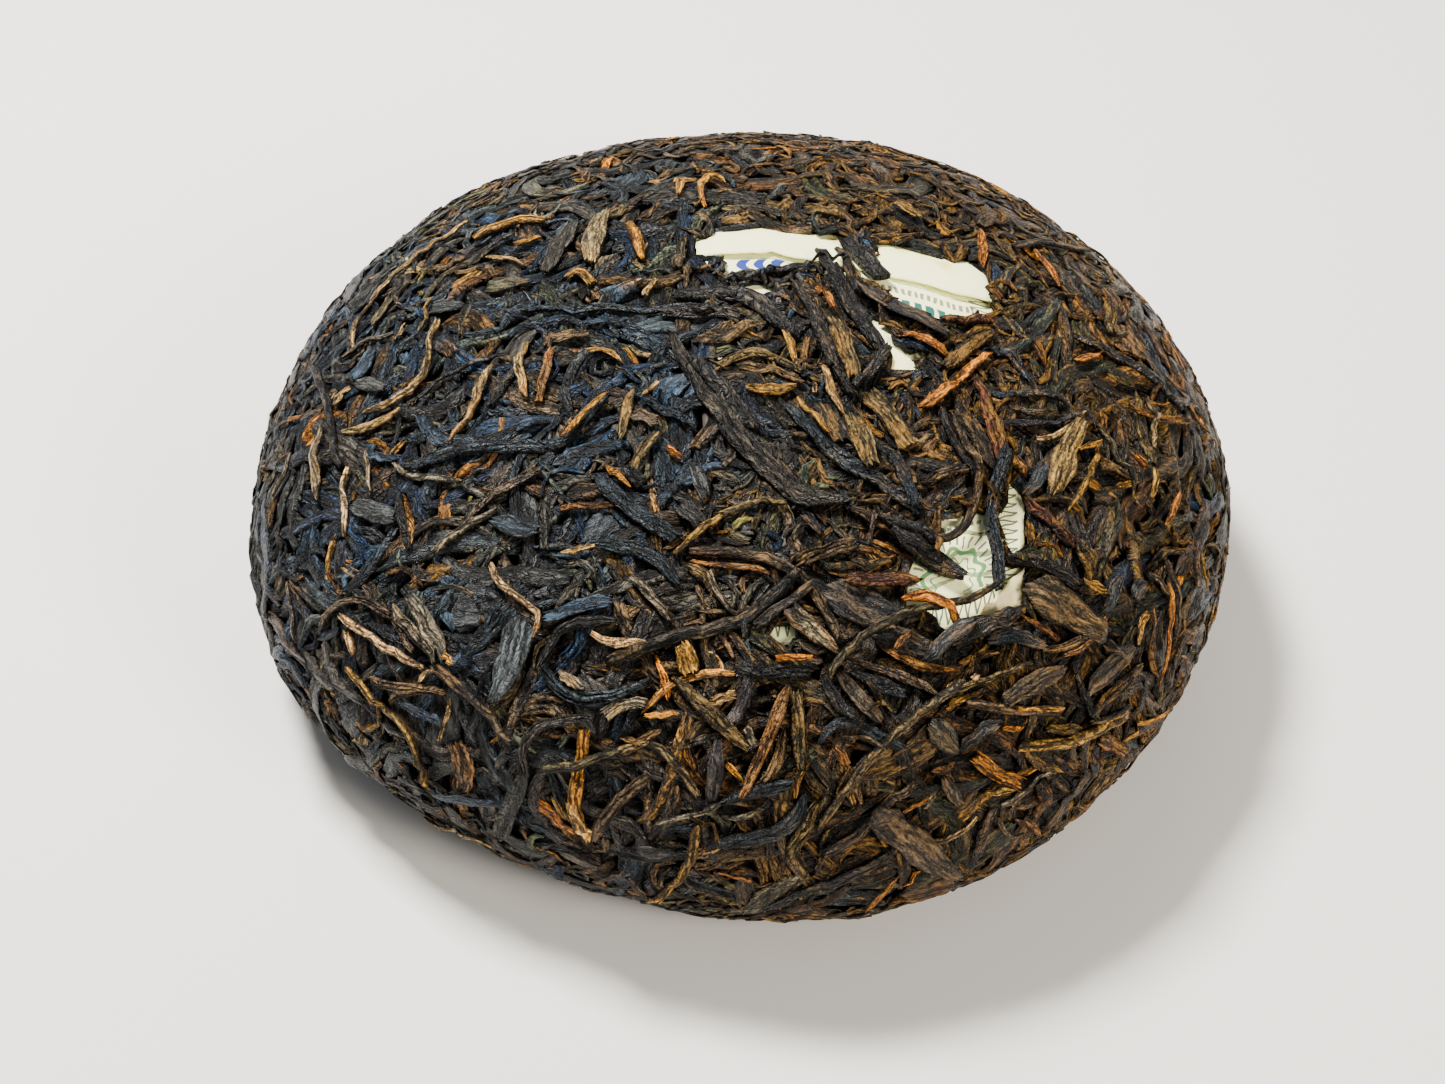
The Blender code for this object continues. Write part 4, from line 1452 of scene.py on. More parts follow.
@dataclass
class PaperTicket:
    """The printed ticket pressed into the top, with its far margin folded over."""

    finish: PaperFinish = field(default_factory=PaperFinish)
    marks: TicketPrint = field(default_factory=TicketPrint)
    far_edge: tuple[Pair, ...] = (
        (696, 241), (722, 231), (751, 226), (786, 233), (822, 234), (850, 238), (879, 243), (915, 251),
        (948, 260), (985, 268),
    )
    near_edge: tuple[Pair, ...] = ((712, 648), (800, 645), (900, 640), (946, 634), (975, 621), (1023, 608))
    fold_edge: tuple[Pair, ...] = (
        (696, 259), (729, 259), (755, 257), (772, 257), (799, 263), (849, 269), (872, 277), (887, 280),
        (928, 289), (956, 298), (985, 305),
    )
    depth: float = 0.0010
    wave: float = 0.00022
    thick: float = 0.00012
    fold_rise: float = 0.00030
    # painted shade mask: how far round each point, in pixels, bare gaps are looked for
    unshaded_reach: float = 14.0
    steps: tuple[int, int] = (48, 64)
    around: tuple[Pair, ...] = (
        (0, 0), (1, 0), (-1, 0), (0, 1), (0, -1), (0.7, 0.7), (0.7, -0.7), (-0.7, 0.7), (-0.7, -0.7),
    )

    def plan(self, camera: PhotoCamera, shape: CakeShape) -> None:
        """Find both long edges on the cake, and the line that the margin is folded to.

        Args:
            camera: The picture's camera.
            shape: The cake's outline.
        """
        self.camera = camera
        self.edges = []
        for edge in (self.far_edge, self.near_edge):
            spots = np.array([camera.hit(pixel, shape, self.depth) for pixel in edge])
            shares = (np.array([pixel[0] for pixel in edge]) - edge[0][0]) / (edge[-1][0] - edge[0][0])
            self.edges.append((shares, spots))
        u, v = (grid.ravel() for grid in np.meshgrid(np.linspace(0, 1, 80), np.linspace(0, 0.3, 90)))
        seen = camera.pixel_of(self.surface(shape, u, v, 0 * u))
        found = [int(np.argmin(((seen - pixel) ** 2).sum(axis=1))) for pixel in self.fold_edge]
        self.fold_line = sorted((float(u[index]), float(v[index])) for index in found)

    def fold(self, u: Array) -> Array:
        """Share along the ticket at which its margin ends."""
        return np.interp(u, *zip(*self.fold_line))

    def surface(self, shape: CakeShape, u: Array, v: Array, rise: Array) -> Array:
        """Lay points of the sheet on the cake.

        Args:
            shape: The cake's outline.
            u: Shares across.
            v: Shares along.
            rise: How far each is raised.

        Returns:
            The points.
        """
        far, near = (points_at(u, shares, spots) for shares, spots in self.edges)
        spots, out = shape.onto(far + (near - far) * v[:, None])
        wave = np.array([noise.fractal(Vector((a * 5.1, b * 7.3, 3.7)), 0.9, 2.0, 2) for a, b in zip(u, v)])
        return spots + out * (rise - self.depth + wave * self.wave)[:, None]

    def unshaded_share(self, spots: Array) -> Array:
        """Find how much of the paper lies open between the leaves, the mask of its painted shade.

        Args:
            spots: Points of the sheet.

        Returns:
            One where the ticket is bare, down to zero where leaves cover it and painted shade is drawn.
        """
        seen = self.camera.pixel_of(spots)
        share = np.zeros(len(spots))
        for shift in self.around:
            for window in WINDOWS:
                share += inside_polygon(seen + self.unshaded_reach * np.array(shift), window)
        return smooth_step(0.0, 2.0, share)

    def mark(self, field_: HeightField, shape: CakeShape) -> None:
        """Raise the heights to the sheet, and bar leaves from its uncovered parts.

        Args:
            field_: The heights laid so far.
            shape: The cake's outline.
        """
        camera = self.camera
        loop = list(self.far_edge) + list(self.near_edge)[::-1]
        top = np.flatnonzero((field_.spots[:, 2] > shape.widest_z) & (field_.out[:, 2] > 0.1))
        sunk = field_.spots[top] - field_.out[top] * self.depth
        under = top[inside_polygon(camera.pixel_of(sunk), loop)]
        field_.heights[under] = np.maximum(field_.heights[under], -self.depth + self.thick)
        field_.paper[under] = True
        level = camera.pixel_of(field_.spots[top] - field_.out[top] * 0.6 * self.depth)
        for window in WINDOWS:
            field_.blocked[top[inside_polygon(level, window)]] = True

    def sheet(
        self,
        name: str,
        shape: CakeShape,
        across: Pair,
        along: Callable[[Array], tuple[Array, Array]],
        rise: Callable[[Array, Array], Array],
    ) -> bpy.types.Object:
        """Make a thin closed sheet over part of the ticket.

        Args:
            name: Name of the piece.
            shape: The cake's outline.
            across: Lowest and highest share across the ticket.
            along: Function of the share across that gives the lowest and highest share along.
            rise: Function of the share across and the share of the piece's own length that gives the rise.

        Returns:
            The piece.
        """
        wide = max(8, round(self.steps[0] * (across[1] - across[0]))) + 1
        row = np.linspace(*across, wide)
        low, high = along(row)
        long = max(8, round(self.steps[1] * float(np.max(high - low)))) + 1
        u, own = np.meshgrid(row, np.linspace(0, 1, long))
        v = (low + (high - low) * own).ravel()
        u, own = u.ravel(), own.ravel()
        lift = rise(u, own)
        spots = np.concatenate([
            self.surface(shape, u, v, lift + 0.5 * self.thick),
            self.surface(shape, u, v, lift - 0.5 * self.thick),
        ])
        under = wide * long
        faces = []
        for row in range(long - 1):
            for column in range(wide - 1):
                a = row * wide + column
                faces.append((a, a + wide, a + wide + 1, a + 1))
                faces.append((under + a, under + a + 1, under + a + wide + 1, under + a + wide))
        ring = list(range(wide)) + [row * wide + wide - 1 for row in range(1, long)]
        ring += [(long - 1) * wide + column for column in range(wide - 2, -1, -1)]
        ring += [row * wide for row in range(long - 2, 0, -1)]
        faces += [(a, b, under + b, under + a) for a, b in zip(ring, ring[1:] + ring[:1])]
        mesh = bpy.data.meshes.new(name)
        mesh.from_pydata(spots.tolist(), [], faces)
        made = mesh.attributes.new("sheet", "FLOAT_VECTOR", "POINT")
        rows = np.stack([np.tile(u, 2), np.tile(v, 2), np.tile(v - self.fold(u), 2)], axis=-1)
        made.data.foreach_set("vector", rows.astype(np.float32).ravel())
        # painted shade mask: one on bare paper, zero under leaves
        clean = mesh.attributes.new("clean", "FLOAT", "POINT")
        clean.data.foreach_set("value", self.unshaded_share(spots).astype(np.float32))
        face_outward(mesh)
        return new_object(name, mesh)

    def material(self, name: str, paper: Colour, printed: bool = False) -> bpy.types.Material:
        """Make the paper, bare on the folded margin and printed elsewhere, with painted shade where leaves
        cover it.

        Args:
            name: Name of the material.
            paper: Colour of the paper.
            printed: Whether it has the print.

        Returns:
            The material.
        """
        look = self.finish
        made, kit, shader = new_material(name)
        sheet = kit.node("ShaderNodeAttribute", attribute_name="sheet").outputs["Vector"]
        where = kit.node("ShaderNodeTexCoord").outputs["Object"]
        stains = kit.ramp(kit.noise(where, 150.0, 4.0, 0.7), 0.53, 0.70, 0.0, 0.8)
        colour = kit.mix(stains, paper, look.stain)
        if printed:
            colour = self.print_over(kit, sheet, colour)
        clean = kit.node("ShaderNodeAttribute", attribute_name="clean").outputs["Fac"]
        # painted shade: the paper turns near-black where leaves cover it
        colour = kit.mix(clean, look.painted_shade, colour)
        kit.put(shader.inputs["Base Color"], colour)
        shader.inputs["Roughness"].default_value = look.roughness
        kit.bump(shader, kit.noise(where, 1400.0, 3.0, 0.6), look.relief)
        return made

    def print_over(self, kit: Tree, sheet: Socket, paper: Socket) -> Socket:
        """Lay generic print over the paper: a zigzag border, waves, rings with rays, dashes, bars and blocks.

        Args:
            kit: The material's tree.
            sheet: Shares across and along the ticket, and how far past the fold.
            paper: Colour of the paper.

        Returns:
            The colour with the print.
        """
        look, marks = self.finish, self.marks
        u, v, past = kit.split(sheet)
        tall = kit.times(v, marks.length)
        edge_u = kit.math("MINIMUM", u, kit.minus(1.0, u))
        edge_v = kit.math("MINIMUM", tall, kit.minus(marks.length, tall))
        edge = kit.math("MINIMUM", edge_u, edge_v)
        upright = kit.math("LESS_THAN", edge_u, edge_v)
        run = kit.plus(kit.times(upright, tall), kit.times(kit.minus(1.0, upright), u))
        zig = kit.math("PINGPONG", kit.times(run, marks.zigzag[0]), 1.0)
        rise = kit.times(kit.minus(edge, marks.border), marks.border_slope)
        inside = kit.math("LESS_THAN", kit.math("ABSOLUTE", kit.minus(rise, 0.5)), 0.5)
        lines = kit.math("LESS_THAN", kit.math("ABSOLUTE", kit.minus(zig, rise)), marks.zigzag[1])
        colour = kit.mix(kit.times(kit.times(lines, inside), 0.9), paper, look.dark_ink)
        inner = kit.math("GREATER_THAN", edge, marks.inner)
        lower = kit.times(kit.math("GREATER_THAN", v, marks.waves_from), inner)
        sway = kit.times(kit.math("SINE", kit.times(u, marks.wave_sway[0])), marks.wave_sway[1])
        waves = kit.times(kit.stripes(kit.plus(tall, sway), *marks.waves), lower)
        colour = kit.mix(kit.times(waves, 0.75), colour, look.olive_ink)
        off_u, off_v = kit.minus(u, marks.ring_centre[0]), kit.minus(tall, marks.ring_centre[1])
        far = kit.plus(kit.math("POWER", off_u, 2.0), kit.math("POWER", off_v, 2.0))
        turn = kit.math("ARCTAN2", off_v, off_u)
        lobes = kit.times(kit.math("SINE", kit.times(turn, marks.ring_lobes[0])), marks.ring_lobes[1])
        far = kit.plus(kit.math("SQRT", far), lobes)
        ring = kit.plus(kit.between(far, *marks.outer_ring), kit.between(far, *marks.inner_ring))
        colour = kit.mix(kit.times(kit.times(ring, inner), 0.9), colour, look.green_ink)
        rays = kit.times(kit.stripes(turn, *marks.rays), kit.between(far, *marks.ray_reach))
        colour = kit.mix(kit.times(kit.times(rays, inner), 0.85), colour, look.dark_ink)
        dots = kit.times(kit.stripes(tall, *marks.dash_rows), kit.stripes(u, *marks.dash_columns))
        clear = kit.math("GREATER_THAN", far, marks.dash_clear)
        band = kit.times(kit.times(kit.between(v, *marks.dash_reach), clear), inner)
        colour = kit.mix(kit.times(kit.times(dots, band), 0.85), colour, look.dark_ink)
        colour = kit.mix(kit.times(kit.between(past, *marks.rule), 0.7), colour, look.dark_ink)
        for item in marks.bands:
            shift = kit.math("SINE", kit.times(past, item.sway)) if item.sway else None
            bars = kit.stripes(u, item.often, item.share, shift)
            place = kit.times(kit.between(past, *item.past), kit.between(u, *item.across))
            ink = getattr(look, item.ink)
            colour = kit.mix(kit.times(kit.times(place, bars), item.strength), colour, ink)
        return colour

    def build(self, shape: CakeShape) -> list[bpy.types.Object]:
        """Make the printed sheet, the bare margin folded over its far edge and a dog-eared corner.

        Args:
            shape: The cake's outline.

        Returns:
            The three pieces.
        """
        sheet = self.sheet(
            "ticket_sheet",
            shape,
            (0.0, 1.0),
            lambda u: (0.004 + 0 * u, 1 + 0 * u),
            self.creases,
        )
        sheet.data.materials.append(self.material("ticket_print", self.finish.paper, True))
        rise = self.fold_rise
        margin = self.sheet(
            "ticket_margin",
            shape,
            (0.0, 1.0),
            lambda u: (0 * u, self.fold(u)),
            lambda u, own: 0.00016 + rise * smooth_step(0.0, 0.5, own) * (1 + 0.6 * np.sin(u * 9.0)),
        )
        corner = self.sheet(
            "ticket_corner",
            shape,
            (0.855, 0.995),
            lambda u: (0.984 - 0.078 * smooth_step(0.84, 1.0, u) - 0.006 * np.sin(u * 160.0), 0.997 + 0 * u),
            lambda u, own: 0.00018 + 0.0007 * smooth_step(1.0, 0.0, own) * smooth_step(0.82, 1.0, u),
        )
        margin.data.materials.append(self.material("ticket_margin", self.finish.paper))
        corner.data.materials.append(self.material("ticket_fold", self.finish.fold))
        return [sheet, margin, corner]

    def creases(self, u: Array, v: Array) -> Array:
        """Rise of the sheet where the leaves beneath have creased it."""
        fold = np.abs(np.sin(5.2 * u + 3.1 * v + 0.6)) ** 0.5
        return -0.0002 * (1 - fold)


@dataclass(frozen=True)
class Hero:
    """A leaf that the picture shows clearly: its way across the picture, width, sort and colour."""

    way: tuple[Pair, ...]
    width: float
    sort: str
    tint: Colour
    lift: float

    @classmethod
    def read(cls, row: str) -> "Hero":
        """Read a leaf from its row of the table.

        Args:
            row: Its sort, colour, width in pixels, lift in tenths of a millimetre, and points.

        Returns:
            The leaf.
        """
        sort, colour, width, lift, *points = row.split()
        way = tuple(tuple(float(part) for part in point.split(",")) for point in points)
        return cls(way, float(width), sort, LeafColour[colour.upper()].value, float(lift) * 0.0001)


@dataclass
class TeaLeaves:
    """All the leaves of the cake, by sort."""

    seed: int = 29
    hero_step: float = 0.0011
    hero_rings: tuple[int, int] = (7, 26)
    hero_depth: float = -0.0003
    layers: tuple[tuple[str, float], ...] = (
        ("bedding", 1.0), ("broad", 0.38), ("under", 1.0), ("stem", 0.25), ("shred", 0.25),
        ("broad", 0.30), ("dark", 0.35), ("brown", 0.35), ("tip", 0.45), ("stem", 0.35), ("crumb", 0.4),
        ("broad", 0.32), ("dark", 0.65), ("brown", 0.65), ("stem", 0.40), ("tip", 0.55), ("flake", 1.0),
        ("shred", 0.35),
    )

    def __post_init__(self) -> None:
        """State the sorts of leaf and their finishes."""
        dark = palette(dark=5, blue_black=4, slate=2, grey_brown=3, purple=1)
        brown = palette(brown=4, grey_brown=4, umber=1, olive=1, dark=2, slate=1)
        light = palette(ochre=4, olive=3, tan=2, amber=1.5, grey_tan=2, rust=1.5)
        leaf = LeafFinish("dark_leaf", 0.42, 0.1, 0.0008, (0.12, 0.122, 0.112), (0.19, 0.1, 0.02), 0.62, 0.26)
        warm = LeafFinish("brown_leaf", 0.52, 0.32, 0.0008, (0.215, 0.172, 0.1), (0.28, 0.135, 0.016), 0.65)
        flat = LeafFinish(
            "broad_leaf", 0.44, 0.42, 0.0005, (0.105, 0.115, 0.112), (0.2, 0.105, 0.026), 0.5, 0.24
        )
        woody = LeafFinish("stem_bark", 0.52, 0.22, 0.0005, (0.19, 0.145, 0.085), (0.26, 0.14, 0.045), 0.55)
        tip = LeafFinish("golden_tip", 0.58, 0.42, 0.0005, (0.4, 0.255, 0.1), (0.4, 0.165, 0.016), 0.45)
        husk = LeafFinish("torn_flake", 0.58, 0.36, 0.0006, (0.27, 0.185, 0.07), (0.3, 0.145, 0.022), 0.6)
        sorts = (
            LeafSort("bedding", Form.TWISTED, 520, (0.010, 0.015), (0.0022, 0.0034), (0.5, 0.7), 0.4,
                     dark, leaf, 7, 9),
            LeafSort("under", Form.TWISTED, 800, (0.008, 0.0145), (0.0012, 0.0025), (0.46, 0.78), 0.6,
                     dark + brown, leaf, 8, 8),
            LeafSort("broad", Form.BROAD, 300, (0.0050, 0.0095), (0.0024, 0.0042), (0.16, 0.28), 0.2,
                     dark + palette(brown=3), flat, 9, 18),
            LeafSort("dark", Form.TWISTED, 620, (0.0080, 0.0170), (0.0012, 0.0026), (0.48, 0.85), 0.65,
                     dark, leaf, 12, 14),
            LeafSort("brown", Form.TWISTED, 560, (0.0070, 0.0155), (0.0011, 0.0024), (0.48, 0.85), 0.65,
                     brown, warm, 12, 14),
            LeafSort("stem", Form.STEM, 240, (0.009, 0.020), (0.0007, 0.0013), (0.8, 1.0), 0.7,
                     brown + palette(grey_tan=2), woody, 12, 9),
            LeafSort("tip", Form.BUD, 190, (0.0035, 0.0090), (0.0007, 0.0014), (0.35, 0.65), 0.7,
                     light, tip, 9, 12),
            LeafSort("flake", Form.FLAKE, 30, (0.0026, 0.0050), (0.0014, 0.0028), (0.18, 0.28), 0.15,
                     light, husk, 8, 18),
            LeafSort("shred", Form.TWISTED, 1100, (0.0028, 0.0062), (0.0005, 0.0011), (0.5, 0.9), 1.0,
                     brown + dark, warm, 6, 8),
            LeafSort("crumb", Form.CRUMB, 1100, (0.0010, 0.0026), (0.0006, 0.0012), (0.5, 0.9), 0.3,
                     brown + dark + palette(ochre=1), warm, 4, 7),
            LeafSort("fibre", Form.TWISTED, 1500, (0.0032, 0.0075), (0.00035, 0.00075), (0.35, 0.6), 1.1,
                     brown + dark + palette(grey_tan=1, ochre=0.6), warm, 6, 6),
        )
        self.sorts = {sort.name: sort for sort in sorts}

    def lay(self, press: LeafPress, heroes: Sequence[Hero], camera: PhotoCamera) -> dict[str, list[Leaf]]:
        """Lay every leaf, lowest layer first and the clear ones of the picture last.

        Args:
            press: What presses them.
            heroes: The clear leaves.
            camera: The picture's camera.

        Returns:
            The leaves that can be seen, by sort.
        """
        laid: dict[str, list[Leaf]] = {name: [] for name in self.sorts}
        for name, share in self.layers:
            sort = self.sorts[name]
            choices = 5 if name in ("tip", "stem", "flake") else 14
            laid[name] += press.fill(sort, round(sort.count * share), choices)
        laid["under"] += press.mend(self.sorts["under"], 2, 0.0012)
        laid["shred"] += press.mend(self.sorts["shred"], 3, 0.0010)
        laid["fibre"] += press.fill(self.sorts["fibre"], self.sorts["fibre"].count, 3, True)
        for hero in heroes:
            leaf = self.hero_leaf(press, hero, camera)
            if leaf is not None and press.press(leaf, patient=True):
                laid[hero.sort].append(leaf)
        laid["shred"] += press.mend(self.sorts["shred"], 4, 0.0012)
        laid["shred"] += press.fill(self.sorts["shred"], round(self.sorts["shred"].count * 0.22), 20)
        laid["crumb"] += press.fill(self.sorts["crumb"], round(self.sorts["crumb"].count * 0.35), 30)
        for name, leaves in laid.items():
            seen = [leaf for leaf in leaves if not press.hidden(leaf)]
            log.info("%s: %d of %d leaves can be seen", name, len(seen), len(leaves))
            # painted shade on the parts that lie deep between later leaves
            for leaf in seen:
                press.darken(leaf)
            laid[name] = seen
        return laid

    def hero_leaf(self, press: LeafPress, hero: Hero, camera: PhotoCamera) -> Leaf | None:
        """Lay out a leaf along its way across the picture.

        Args:
            press: What presses it.
            hero: The clear leaf.
            camera: The picture's camera.

        Returns:
            The leaf, or None where its way misses the cake.
        """
        sort = self.sorts[hero.sort]
        corners = [camera.hit(pixel, press.shape, self.hero_depth - hero.lift) for pixel in hero.way]
        if any(corner is None for corner in corners):
            return None
        knots = np.array(corners)
        travel = run_along(knots)
        rings = int(np.clip(round(travel[-1] / self.hero_step), *self.hero_rings))
        path = points_at(np.linspace(0, travel[-1], rings), travel, knots)
        for _ in range(3):
            path[1:-1] = 0.25 * path[:-2] + 0.5 * path[1:-1] + 0.25 * path[2:]
        spots, out = press.shape.onto(path)
        width = hero.width * camera.metres_per_pixel(spots[rings // 2])
        leaf = press.shaper.dress(sort, spots, out, width)
        leaf.half_width = leaf.half_width * (width / (2 * leaf.half_width.max()))
        tone = np.minimum(leaf.tint / np.maximum(leaf.tint.mean(axis=0), 1e-6), 1.8)
        leaf.tint = np.clip(np.array(hero.tint) * (0.6 + 0.4 * tone), 0.004, 0.8)
        leaf.roll *= 0.5
        leaf.lift = hero.lift
        return leaf

    def build(self, laid: dict[str, list[Leaf]], loft: LeafLoft) -> list[bpy.types.Object]:
        """Turn the laid leaves into one piece for each sort.

        Args:
            laid: The leaves by sort.
            loft: The tree that makes them.

        Returns:
            The pieces.
        """
        group = grain_group()
        finishes: dict[str, bpy.types.Material] = {}
        pieces = []
        for name, leaves in laid.items():
            sort = self.sorts[name]
            look = sort.finish
            if look.name not in finishes:
                finishes[look.name] = leaf_material(look, group)
            form = LOFT_SIZES[sort.form]
            sizes = {
                "Section points": sort.section,
                "Ridges": form.ridges,
                "Groove depth": form.groove,
                "Roundness": form.roundness,
                "Ragged edge": form.ragged,
                "Finish": finishes[look.name],
            }
            pieces.append(loft.loft(f"{name}_leaves", leaves, sizes))
        return pieces


@dataclass(frozen=True)
class Lamp:
    """A soft square light that faces the cake."""

    name: str
    place: tuple[float, float, float]
    size: float
    power: float
    colour: Colour

    def make(self) -> None:
        """Add the light."""
        data = bpy.data.lights.new(self.name, "AREA")
        data.size = self.size
        data.energy = self.power
        data.color = self.colour
        lamp = new_object(self.name, data)
        lamp.location = self.place
        toward = Vector((0, 0, 0.02)) - Vector(self.place)
        lamp.rotation_euler = toward.to_track_quat("-Z", "Y").to_euler()


@dataclass
class Studio:
    """Plain pale floor, soft sky and lights."""

    floor_size: float = 6.0
    floor_z: float = -0.00002
    floor_colour: Colour = (0.78, 0.76, 0.73)
    floor_roughness: float = 0.9
    sky_colour: Colour = (0.89, 0.95, 1.0)
    sky_strength: float = 0.29
    lamps: tuple[Lamp, ...] = (
        Lamp("key_light", (-0.16, 0.13, 0.46), 0.11, 8.6, (1.0, 0.97, 0.92)),
        Lamp("fill_light", (0.36, -0.38, 0.36), 0.20, 4.4, (1.0, 0.92, 0.79)),
        Lamp("back_light", (0.10, 0.45, 0.30), 0.25, 0.6, (1.0, 0.98, 0.95)),
    )

    def build(self) -> None:
        """Make the floor, the sky and the lights."""
        bpy.ops.mesh.primitive_plane_add(size=self.floor_size, location=(0, 0, self.floor_z))
        floor = bpy.context.object
        floor.name = "floor"
        made, _, shader = new_material("pale_floor")
        shader.inputs["Base Color"].default_value = (*self.floor_colour, 1.0)
        shader.inputs["Roughness"].default_value = self.floor_roughness
        floor.data.materials.append(made)
        world = bpy.data.worlds.new("soft_sky")
        world.use_nodes = True
        sky = world.node_tree.nodes["Background"]
        sky.inputs["Color"].default_value = (*self.sky_colour, 1.0)
        sky.inputs["Strength"].default_value = self.sky_strength
        bpy.context.scene.world = world
        for lamp in self.lamps:
            lamp.make()


# Gaps between the leaves that show the ticket, traced from the picture
WINDOWS: tuple[tuple[Pair, ...], ...] = (
    (
        (696, 242), (720, 233), (748, 227), (772, 229), (786, 234), (845, 237), (853, 241), (866, 262),
        (874, 273), (881, 265), (879, 243), (925, 251), (947, 260), (970, 261), (978, 266), (987, 286),
        (987, 302), (991, 311), (986, 316), (940, 323), (928, 317), (888, 293), (859, 277), (843, 268),
        (812, 262), (800, 268), (770, 270), (723, 280), (728, 260), (697, 259),
    ),
    (
        (941, 521), (985, 510), (993, 517), (997, 545), (1002, 580), (985, 590), (950, 600), (925, 600),
        (905, 590), (921, 568), (905, 566), (940, 556),
    ),
    ((1011, 478), (1021, 483), (1027, 547), (1009, 555), (1006, 519)),
    (
        (1006, 572), (1021, 574), (1022, 608), (985, 616), (965, 625), (948, 637), (926, 616), (911, 609),
        (885, 597), (903, 590), (950, 604), (1000, 592),
    ),
    ((731, 289), (754, 282), (780, 288), (760, 296)),
    ((714, 350), (728, 344), (741, 346), (738, 354), (724, 361), (714, 360)),
    ((863, 311), (876, 316), (886, 332), (898, 352), (890, 354), (872, 332)),
    ((891, 360), (903, 353), (913, 362), (907, 376), (893, 373)),
    ((764, 630), (790, 628), (812, 636), (778, 644)),
    ((732, 575), (741, 574), (740, 581), (733, 582)),
    ((988, 382), (998, 382), (999, 388), (989, 388)),
)

